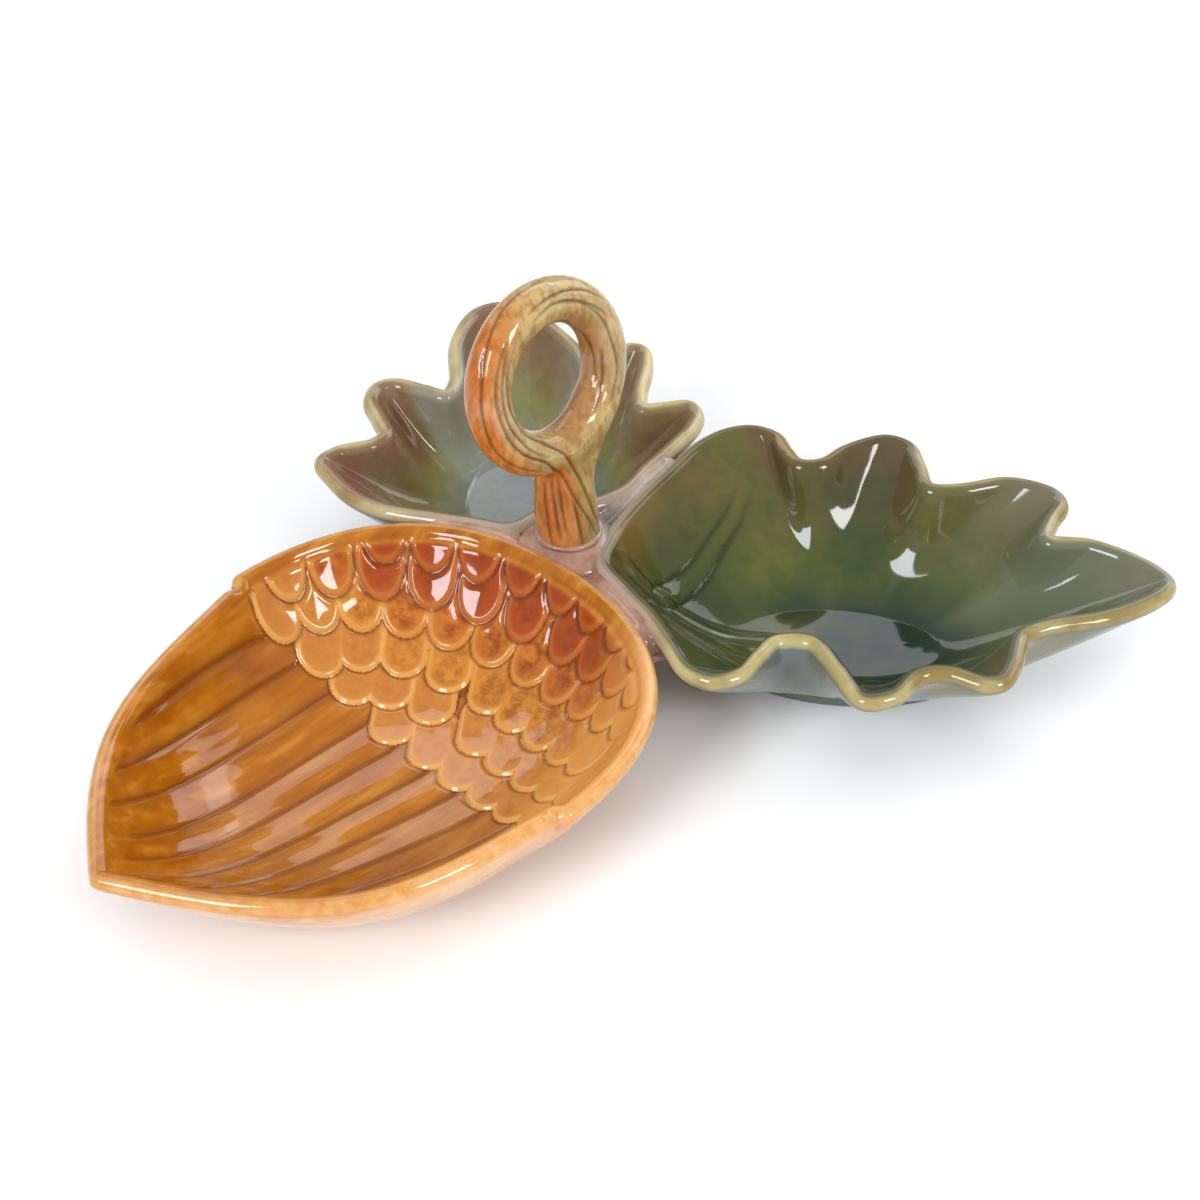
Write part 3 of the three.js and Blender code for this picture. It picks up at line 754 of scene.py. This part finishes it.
seam_right = seam_object("seam_right_glazed", acorn, right_leaf, end_degrees=62)
seam_left = seam_object("seam_left_glazed", acorn, left_leaf, end_degrees=131)
seam_leaves = seam_object("seam_leaves_glazed", right_leaf, left_leaf, end_degrees=174)


# Saddle: the clay drawn up from the three rims to the stem

def saddle_object(sides=96):
    rings = []
    for radius, z in SADDLE_PROFILE:
        rings.append(raised(np.array(STEM) + radius * circle(turns(sides)), z))
    return closed_rings("saddle_glazed", np.array(rings), {}, len(rings) // 2)


saddle = saddle_object()


# Twig handle

ring_up = np.array([-math.sin(RING_LEAN), 0, math.cos(RING_LEAN)])
ring_side = np.array([0.0, 1.0, 0.0])
ring_axis = np.array([math.cos(RING_LEAN), 0, math.sin(RING_LEAN)])
ring_bottom = RING_CENTRE[2] - RING_RADIUS * math.cos(RING_LEAN)
stem_lean = np.array([RING_CENTRE[0] + RING_RADIUS * math.sin(RING_LEAN), RING_CENTRE[1]]) / ring_bottom
foot = np.array([STEM[0], STEM[1], HANDLE_FOOT])


def ring_point(turn, around, radius):
    radial = np.cos(turn)[..., None] * ring_up + np.sin(turn)[..., None] * ring_side
    tube = np.cos(around)[..., None] * radial + np.sin(around)[..., None] * ring_axis
    return foot + RING_CENTRE + RING_RADIUS * radial + radius * tube


def stem_radius(height):
    knots = [0, ring_bottom - STEM_NECK_DROP, ring_bottom]
    return np.polyval(np.polyfit(knots, STEM_RADII, 2), height)


def stem_point(height, around, radius):
    x = foot[0] + height * stem_lean[0] + radius * np.cos(around)
    y = foot[1] + height * stem_lean[1] + radius * np.sin(around)
    return np.stack([x, y, foot[2] + height], -1)


def shoulder_ends():
    low = stem_point(ring_bottom - SHOULDER_DROP, 0.0, 0.0) + SHOULDER_OFFSET
    return low, ring_point(SHOULDER_TURN, 0.0, 0.0)


def torus_quads(index):
    """Faces of a closed ring of rings, each row of index one ring."""
    ahead = np.roll(index, -1, 0)
    return np.stack([index, ahead, np.roll(ahead, -1, 1), np.roll(index, -1, 1)], 2).reshape(-1, 4)


def tube_quads(index):
    """Faces of an open tube of rings, each row of index one ring."""
    after = np.roll(index, -1, 1)
    return np.stack([index[:-1], after[:-1], after[1:], index[1:]], 2).reshape(-1, 4)


def limb_rings(start, end, steps=12):
    axis = unit(end - start)
    side = unit(np.cross(axis, [1.0, 0, 0]))
    turn = turns(HANDLE_SIDES)[:, None]
    ring = np.cos(turn) * side + np.sin(turn) * np.cross(axis, side)
    share = np.linspace(0, 1, steps)[:, None, None]
    return start + (end - start) * share + ring[None] * SHOULDER_RADIUS


def handle_blank(ring_steps=120, ring_sides=40, stem_steps=30):
    """Ring, stem and shoulder as closed tubes that pass into each other."""
    turn, around = np.meshgrid(turns(ring_steps), turns(ring_sides), indexing="ij")
    ring = ring_point(turn, around, TWIG_RADIUS)
    height, angle = np.meshgrid(np.linspace(0, ring_bottom, stem_steps), turns(HANDLE_SIDES), indexing="ij")
    stem = stem_point(height, angle, stem_radius(height))
    shoulder = limb_rings(*shoulder_ends())
    points = np.vstack([grid.reshape(-1, 3) for grid in (ring, stem, shoulder)])
    numbers = np.arange(len(points))
    ring_index, stem_index, limb_index = np.split(numbers, [turn.size, turn.size + height.size])
    stem_index = stem_index.reshape(height.shape)
    limb_index = limb_index.reshape(shoulder.shape[:2])
    quads = [
        torus_quads(ring_index.reshape(turn.shape))[:, ::-1], tube_quads(stem_index), tube_quads(limb_index),
    ]
    caps = []
    middles = []
    for index, grid in ((stem_index, stem), (limb_index, shoulder)):
        for end in (0, -1):
            after = np.roll(index[end], -1)
            pair = (after, index[end]) if end == 0 else (index[end], after)
            caps.append(np.column_stack([np.full(HANDLE_SIDES, len(points) + len(middles)), *pair]))
            middles.append(grid[end].mean(0))
    return mesh_object("handle_blank", np.vstack([points, middles]), np.vstack(quads), np.vstack(caps), {})


def blended(a, b):
    share = np.clip(0.5 + 0.5 * (b - a) / JOINT_BLEND, 0, 1)
    return b + (a - b) * share - JOINT_BLEND * share * (1 - share)


def clay_distance(points):
    """How far points stand off the handle: ring, stem and shoulder run together, cut flat at the foot."""
    offset = points - foot - RING_CENTRE
    axial = offset @ ring_axis
    radial = np.sqrt(np.maximum((offset ** 2).sum(1) - axial ** 2, 1e-9))
    ring = np.hypot(radial - RING_RADIUS, axial) - TWIG_RADIUS
    height = points[:, 2] - foot[2]
    x = points[:, 0] - foot[0] - height * stem_lean[0]
    y = points[:, 1] - foot[1] - height * stem_lean[1]
    stem = np.maximum(np.hypot(x, y) - stem_radius(np.clip(height, 0, ring_bottom)), height - ring_bottom)
    shoulder = polyline_distance(points, shoulder_ends())[0] - SHOULDER_RADIUS
    return np.maximum(blended(blended(stem, shoulder), ring), -height)


def on_clay(points, passes=4, step=0.02, nudge=0.4):
    """Points moved on to the handle's surface, with the surface's normals."""
    for _ in range(passes):
        off = clay_distance(points)
        slope = np.stack([clay_distance(points + step * axis) - off for axis in np.eye(3)], 1)
        slope /= np.linalg.norm(slope, axis=1, keepdims=True) + 1e-9
        points = points - slope * np.clip(off, -nudge, nudge)[:, None]
    return points, slope


def drawn(points, steps=30):
    """A finely stepped line through the given points, as one list for each coordinate."""
    points = np.array(points, float)
    at = np.linspace(0, len(points) - 1, steps * len(points))
    return [np.interp(at, np.arange(len(points)), points[:, axis]) for axis in (0, 1)]


def on_ring(points):
    turn, around = np.radians(drawn(points))
    return ring_point(turn, around, TWIG_RADIUS)


def on_stem(points):
    height, around = drawn(points)
    return stem_point(height, np.radians(around), stem_radius(height))


def bark_lines(fewest=30, per_mm=4, softenings=60, seatings=3):
    """Points of all bark lines on the clay, each with its share of the full depth."""
    paths = [on_ring(points) for points in RING_BARK] + [on_stem(points) for points in STEM_BARK]
    for ring_part, stem_part in FLOWING_BARK:
        paths.append(np.vstack([on_ring(ring_part), on_stem(stem_part)]))
    lines = []
    for path in paths:
        length = run(path)[-1]
        line = redrawn(path, np.linspace(0, length, max(fewest, int(length * per_mm))))
        for _ in range(softenings):
            line[1:-1] = (line[:-2] + 2 * line[1:-1] + line[2:]) / 4
        for _ in range(seatings):
            line = on_clay(line)[0]
        taper = np.sin(np.linspace(*BARK_ENDS, len(line)) * math.pi) ** BARK_TAPER
        lines.append(np.column_stack([line, taper]))
    return np.vstack(lines)


def make_handle():
    blank = handle_blank()
    remesh = blank.modifiers.new("one clay", "REMESH")
    remesh.mode = "VOXEL"
    remesh.voxel_size = HANDLE_VOXEL / 1000
    soften = blank.modifiers.new("soft joint", "SMOOTH")
    soften.factor = 0.5
    soften.iterations = 6
    bpy.context.view_layer.update()
    shaped = blank.evaluated_get(bpy.context.evaluated_depsgraph_get())
    mesh = bpy.data.meshes.new_from_object(shaped)
    bpy.data.objects.remove(blank)
    points = np.empty(len(mesh.vertices) * 3, np.float32)
    mesh.vertices.foreach_get("co", points)
    points, normals = on_clay((points.reshape(-1, 3) - ORIGIN) * 1000)
    points = to_frame(points)
    lines = bark_lines()
    samples = to_frame(lines[:, :3])
    tree = kdtree.KDTree(len(samples))
    for number, sample in enumerate(samples):
        tree.insert(sample, number)
    tree.balance()
    nearest = [tree.find(point) for point in points]
    gap = np.array([found[2] for found in nearest]) * 1000
    cut = hump(gap, BARK_WIDTH) * lines[[found[1] for found in nearest], 3]
    points -= normals * (BARK_DEPTH / 1000 * cut)[:, None]
    mesh.vertices.foreach_set("co", in_box(points).astype(np.float32).ravel())
    mesh.name = "twig_handle_glazed"
    offset = (points - to_frame(foot + RING_CENTRE)) * 1000
    flat = offset - (offset @ ring_axis)[:, None] * ring_axis
    radial = np.linalg.norm(flat, axis=1)
    hollow = smooth(*HOLLOW_DEPTH, (RING_RADIUS - radial) / TWIG_RADIUS)
    add_masks(mesh, {"hollow": hollow * smooth(*HOLLOW_SIDE, flat @ ring_side), "line": cut})
    mesh.shade_smooth()
    mesh.update()
    return linked("twig_handle_glazed", mesh)


handle = make_handle()


def make_bead(steps=140, sides=20):
    turn = turns(steps)
    around = turns(sides)
    waves = sum(height * np.sin(count * turn + start) for count, start, height in BEAD_WAVES)
    thick = BEAD_RADIUS * (BEAD_SHARE + waves)
    ring = np.stack([np.cos(turn), np.sin(turn), np.zeros_like(turn)], 1)
    out = ring[:, None] * (BEAD_RING + thick[:, None] * np.cos(around))[..., None]
    out[..., 2] = thick[:, None] * np.sin(around) + BEAD_LIFT * BEAD_RADIUS
    quads = torus_quads(np.arange(steps * sides).reshape(steps, sides))
    return mesh_object("bead_glazed", (out + foot).reshape(-1, 3), quads, np.zeros((0, 3), int), {})


bead = make_bead()


# Glazes

# Sockets of a colour mix node
MIX_SHARE = 0
MIX_FROM = 6
MIX_TO = 7
MIX_COLOUR = 2

# Where the twig turns amber and the mauve pieces turn warm, from and to, along y in the plan
AMBER_SIDE_Y = (9.2, -0.8)
WARM_SIDE_Y = (16, 3)


def linear(red, green, blue):
    """A tone from 0 to 255 in sRGB as linear light."""
    def channel(value):
        value /= 255
        return value / 12.92 if value <= 0.04045 else ((value + 0.055) / 1.055) ** 2.4
    return (channel(red), channel(green), channel(blue), 1.0)


class Glaze:
    """A glossy material built up from noises, masks and tones."""
    def __init__(self, name, roughness):
        self.material = bpy.data.materials.new(name)
        self.material.use_nodes = True
        self.tree = self.material.node_tree
        self.shader = self.tree.nodes["Principled BSDF"]
        self.shader.inputs["Roughness"].default_value = roughness
        self.shader.inputs["IOR"].default_value = 1.52
        self.place = self.node("TexCoord").outputs["Object"]

    def feed(self, value, socket):
        if isinstance(value, bpy.types.NodeSocket):
            self.tree.links.new(value, socket)
        else:
            socket.default_value = value

    def node(self, kind, inputs=None, **settings):
        """A new node with its settings made and its inputs fed."""
        node = self.tree.nodes.new("ShaderNode" + kind)
        for key, value in settings.items():
            setattr(node, key, value)
        for key, value in (inputs or {}).items():
            self.feed(value, node.inputs[key])
        return node

    def mask(self, name):
        return self.node("Attribute", attribute_name=name).outputs["Fac"]

    def noise(self, scale, detail=4.0, stretch=(1, 1, 1), rough=0.55):
        place = self.node("Mapping", {"Scale": stretch, "Vector": self.place}).outputs["Vector"]
        inputs = {"Scale": scale, "Detail": detail, "Roughness": rough, "Vector": place}
        return self.node("TexNoise", inputs).outputs["Fac"]

    def toward(self, vector, span):
        """From 0 to 1 along the span of the vector's y."""
        return self.level(self.node("SeparateXYZ", {"Vector": vector}).outputs["Y"], *span)

    def ramp(self, value, *stops):
        node = self.node("ValToRGB", {"Fac": value})
        ramp = node.color_ramp
        while len(ramp.elements) < len(stops):
            ramp.elements.new(0.5)
        for element, (at, tone) in zip(ramp.elements, stops):
            element.position = at
            element.color = linear(*tone)
        return node.outputs["Color"]

    def level(self, value, low, high):
        return self.node("MapRange", {"Value": value, "From Min": low, "From Max": high}).outputs["Result"]

    def times(self, a, b):
        return self.node("Math", {0: a, 1: b}, operation="MULTIPLY").outputs["Value"]

    def mix(self, share, a, b):
        inputs = {MIX_SHARE: share, MIX_FROM: a, MIX_TO: b}
        return self.node("Mix", inputs, data_type="RGBA").outputs[MIX_COLOUR]

    def layered(self, colour, *layers):
        """The colour under layers of (share, strength, tone), each as strong as share times strength."""
        for share, strength, tone in layers:
            colour = self.mix(self.times(share, strength), colour, linear(*tone))
        return colour

    def between(self, value, low, high, first, second):
        """From the first tone to the second as value climbs from low to high."""
        return self.mix(self.level(value, low, high), linear(*first), linear(*second))

    def rimmed(self, colour, outside, rim, strength):
        """The inside's colour with those of the outside and the rim."""
        colour = self.mix(self.mask("outside"), colour, outside)
        return self.mix(self.times(self.mask("rim"), strength), colour, rim)

    def finish(self, colour, wave=0.06):
        height = self.noise(scale=48, detail=2.0)
        bump = self.node("Bump", {"Strength": wave, "Distance": 0.004, "Height": height})
        self.feed(colour, self.shader.inputs["Base Color"])
        self.feed(bump.outputs["Normal"], self.shader.inputs["Normal"])
        return self.material


def amber_glaze():
    glaze = Glaze("amber glaze", roughness=0.06)
    mask = glaze.mask
    level = glaze.level
    streak = glaze.noise(240, 4.0, stretch=(1.0, 0.12, 0.6))
    cloud = glaze.noise(46, 3.0)
    mottle = glaze.noise(260, 5.0, rough=0.65)
    back = mask("back")
    # Nut: streaks, lighter in clouds and darker beside the grooves
    nut = glaze.layered(
        glaze.ramp(streak, (0.3, (146, 78, 2)), (0.52, (168, 98, 8)), (0.74, (196, 134, 44))),
        (level(cloud, 0.48, 0.7), 0.4, (196, 130, 40)),
        (mask("shade"), 0.45, (132, 68, 4)),
    )
    # Scales: burnt towards the back, with spots in their hearts and lighter clouds
    spot = glaze.times(level(mottle, 0.38, 0.6), level(back, -0.15, 0.5))
    scale = glaze.layered(
        glaze.ramp(
            back, (0.05, (190, 122, 50)), (0.4, (198, 130, 42)), (0.7, (178, 84, 16)), (0.95, (158, 62, 8)),
        ),
        (glaze.times(spot, mask("heart")), 0.85, (132, 54, 6)),
        (level(cloud, 0.52, 0.75), 0.25, (206, 144, 66)),
    )
    # Pale right wall, painted highlights along the scale edges, dark gaps and grooves
    colour = glaze.layered(
        glaze.mix(mask("cap"), nut, scale),
        (mask("pale"), 0.85, (222, 158, 86)),
        (glaze.times(mask("edge_highlight"), level(back, 1.5, 0.0)), 0.7, (226, 172, 96)),
        (mask("gap"), 0.85, (90, 38, 6)),
        (mask("groove"), 0.6, (96, 44, 2)),
    )
    outside = glaze.between(cloud, 0.4, 0.65, (222, 172, 118), (200, 130, 66))
    rim = glaze.between(mottle, 0.35, 0.7, (214, 168, 112), (194, 128, 48))
    return glaze.finish(glaze.rimmed(colour, outside, rim, 0.7))


def green_glaze(name, murk, depth, brown, pale, shade):
    """Leaf glaze: shade gives the tones up the wall, murk the drifting, depth the dark near the stem, pale
    the tone of the painted reflection on the notches.
    """
    glaze = Glaze(name, roughness=0.065)
    mask = glaze.mask
    level = glaze.level
    cloud = glaze.noise(34, 4.0)
    mottle = glaze.noise(190, 5.0, rough=0.62)
    drift = glaze.noise(17, 3.0)
    wall = mask("wall")
    near = mask("near")
    # Drifts of olive, blue green and dark flecks, brown lobes, a dark end near the stem, a pale painted
    # reflection on the notches, an ochre band along the rim near the stem, a grey painted reflection on the
    # far end and dark lines beside the veins
    colour = glaze.layered(
        glaze.ramp(wall, *shade),
        (level(drift, 0.46, 0.66), 0.55 * murk, (116, 112, 42)),
        (level(drift, 0.5, 0.34), 0.5 * murk, (22, 54, 44)),
        (level(mottle, 0.45, 0.7), 0.4 * murk, (50, 60, 18)),
        (glaze.times(mask("lobe"), level(cloud, 0.42, 0.62)), 0.8, brown),
        (near, depth, (26, 44, 32)),
        (mask("notch"), 0.55, pale),
        (glaze.times(near, level(wall, 0.86, 1.0)), level(cloud, 0.4, 0.62), (112, 90, 42)),
        (mask("far"), 0.6, (122, 124, 102)),
        (mask("vein"), 0.8, (22, 30, 14)),
    )
    # Outside: blue grey and brown glaze tones, darkened as painted shade
    outside = glaze.ramp(cloud, (0.3, (80, 98, 108)), (0.52, (96, 102, 84)), (0.72, (140, 116, 72)))
    rim = glaze.between(cloud, 0.36, 0.58, (206, 190, 134), (142, 120, 64))
    rim = glaze.layered(rim, (near, 1.0, (176, 158, 142)))
    return glaze.finish(glaze.rimmed(colour, outside, rim, 0.8))


def twig_glaze():
    glaze = Glaze("twig glaze", roughness=0.05)
    normal = glaze.node("NewGeometry").outputs["Normal"]
    near_side = glaze.toward(glaze.place, frame_span(AMBER_SIDE_Y))
    cloud = glaze.noise(60, 3.0)
    fleck = glaze.noise(420, 3.0, stretch=(1.0, 1.0, 0.35))
    streak = glaze.noise(170, 4.0, stretch=(1.0, 1.0, 0.3))
    # Tan, amber on the side that faces the acorn, then pale streaks, a brown hollow, flecks and bark lines
    colour = glaze.layered(
        glaze.between(cloud, 0.35, 0.65, (186, 164, 112), (164, 138, 82)),
        (glaze.times(glaze.toward(normal, (0.0, -0.6)), near_side), 0.9, (186, 96, 22)),
        (glaze.level(streak, 0.48, 0.62), 0.38, (206, 168, 104)),
        (glaze.mask("hollow"), 0.6, (150, 92, 54)),
        (glaze.level(fleck, 0.46, 0.62), 0.5, (138, 78, 28)),
        (glaze.mask("line"), 0.85, (72, 34, 8)),
    )
    return glaze.finish(colour, wave=0.16)


def mauve_glaze():
    glaze = Glaze("mauve glaze", roughness=0.07)
    cloud = glaze.noise(90, 4.0)
    cool = glaze.ramp(cloud, (0.32, (130, 112, 112)), (0.5, (172, 156, 140)), (0.7, (166, 138, 112)))
    warm = glaze.between(cloud, 0.35, 0.65, (146, 106, 92), (188, 152, 128))
    acorn_side = glaze.toward(glaze.place, frame_span(WARM_SIDE_Y))
    return glaze.finish(glaze.mix(acorn_side, cool, warm))


amber = amber_glaze()
# Right leaf: pale is the tone of the painted reflection on the notches
right_green = green_glaze(
    "green glaze", murk=1.0, depth=0.5, brown=(96, 70, 48), pale=(112, 118, 92),
    shade=((0.15, (14, 34, 36)), (0.5, (34, 56, 40)), (0.74, (62, 76, 34)), (0.93, (76, 74, 42))),
)
# Left leaf: its tones up the wall are glaze colour greyed and lightened as painted reflection, and its pale
# notch tone is a painted reflection
left_green = green_glaze(
    "green brown glaze", murk=0.6, depth=0.0, brown=(124, 58, 52), pale=(150, 156, 150),
    shade=((0.3, (112, 122, 124)), (0.64, (118, 124, 114)), (0.8, (132, 130, 78)), (0.95, (142, 116, 86))),
)
twig = twig_glaze()
mauve = mauve_glaze()
dressed = [
    (acorn_dish, amber, "acorn_dish", "amber_glaze"),
    (right_dish, right_green, "right_leaf_dish", "green_glaze"),
    (left_dish, left_green, "left_leaf_dish", "green_glaze"),
    (handle, twig, "twig_handle", "twig_glaze"),
    (saddle, mauve, "centre_saddle", "mauve_glaze"),
    (seam_right, mauve, "seam_acorn_right_leaf", "mauve_glaze"),
    (seam_left, mauve, "seam_acorn_left_leaf", "mauve_glaze"),
    (seam_leaves, mauve, "seam_leaf_leaf", "mauve_glaze"),
    (bead, mauve, "handle_bead", "mauve_glaze"),
]
for piece, material, node, finish in dressed:
    piece.data.materials.append(material)
    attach(piece, "root")
    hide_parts(node)


# Studio: a pale floor, two broad panels, two windows on the camera's side and a light overhead

FLOOR_HALF = 6.0
FLOOR_DROP = 0.0002
WHITE = (1, 1, 1)
COOL_WHITE = (0.92, 0.95, 1.0)
SKY = (0.86, 0.92, 1.0)

# Lights: name, azimuth, elevation, distance, width, height, radiance, colour
LIGHTS = [
    ("panel behind", 0, 42.5, 1.6, 2.5, 0.42, 1.8, COOL_WHITE),
    ("panel right", 46, 26, 1.6, 1.2, 0.95, 1.9, COOL_WHITE),
    ("window right", 132, 34, 1.5, 0.34, 0.5, 16, WHITE),
    ("window left", -146, 36, 1.5, 0.5, 0.6, 14, SKY),
    ("ceiling", 180, 78, 1.8, 1.2, 1.2, 1.6, WHITE),
]
LIT_PLACE = to_frame([10.0, -10.0, 30.0])

# The photograph's view: how far it is turned from the acorn's axis, how steeply it looks down, and from where
VIEW_TURN = math.radians(45.7)
VIEW_PITCH = math.radians(41.3)
VIEW_PLACE = to_frame([404.15, -402.24, 521.40])
VIEW_RIGHT = np.array([math.sin(VIEW_TURN), math.cos(VIEW_TURN), 0])
VIEW_AWAY = np.array([-math.cos(VIEW_TURN), math.sin(VIEW_TURN), 0])
UPRIGHT = np.array([0, 0, 1])


def pale_floor():
    corners = [(-1, -1), (1, -1), (1, 1), (-1, 1)]
    mesh = bpy.data.meshes.new("floor")
    mesh.from_pydata([(FLOOR_HALF * x, FLOOR_HALF * y, 0) for x, y in corners], [], [(0, 1, 2, 3)])
    obj = linked("floor", mesh)
    obj.location.z = -FLOOR_DROP
    material = bpy.data.materials.new("pale floor")
    material.use_nodes = True
    shader = material.node_tree.nodes["Principled BSDF"]
    shader.inputs["Base Color"].default_value = (0.9, 0.9, 0.9, 1)
    shader.inputs["Roughness"].default_value = 0.8
    mesh.materials.append(material)


def panel(name, azimuth, elevation, distance, width, height, radiance, colour):
    """A lit rectangle seen from the dish at an azimuth, clockwise from straight behind, and an elevation."""
    turn = math.radians(azimuth)
    rise = math.radians(elevation)
    level = math.cos(turn) * VIEW_AWAY + math.sin(turn) * VIEW_RIGHT
    away = math.cos(rise) * level + math.sin(rise) * UPRIGHT
    light = bpy.data.lights.new(name, "AREA")
    light.shape = "RECTANGLE"
    light.size = width
    light.size_y = height
    light.energy = radiance * math.pi * width * height
    light.color = colour
    obj = linked(name, light)
    obj.location = Vector(LIT_PLACE + away * distance)
    obj.rotation_euler = Vector(away).to_track_quat("Z", "Y").to_euler()
    return obj


def white_world():
    world = bpy.data.worlds.new("studio")
    world.use_nodes = True
    background = world.node_tree.nodes["Background"]
    background.inputs["Color"].default_value = (*WHITE, 1)
    background.inputs["Strength"].default_value = 0.5
    return world


def photo_camera():
    data = bpy.data.cameras.new("camera")
    data.sensor_width = 36
    data.lens = 78
    data.clip_start = 0.02
    camera = linked("camera", data)
    forward = math.cos(VIEW_PITCH) * VIEW_AWAY - math.sin(VIEW_PITCH) * UPRIGHT
    turned = np.column_stack([VIEW_RIGHT, np.cross(VIEW_RIGHT, forward), -forward])
    camera.matrix_world = Matrix.Translation(Vector(VIEW_PLACE)) @ Matrix(turned).to_4x4()
    return camera


pale_floor()
lights = {light[0]: panel(*light) for light in LIGHTS}
lights["ceiling"].visible_glossy = False
scene = bpy.context.scene
scene.world = white_world()
scene.view_settings.view_transform = "Standard"
scene.camera = photo_camera()
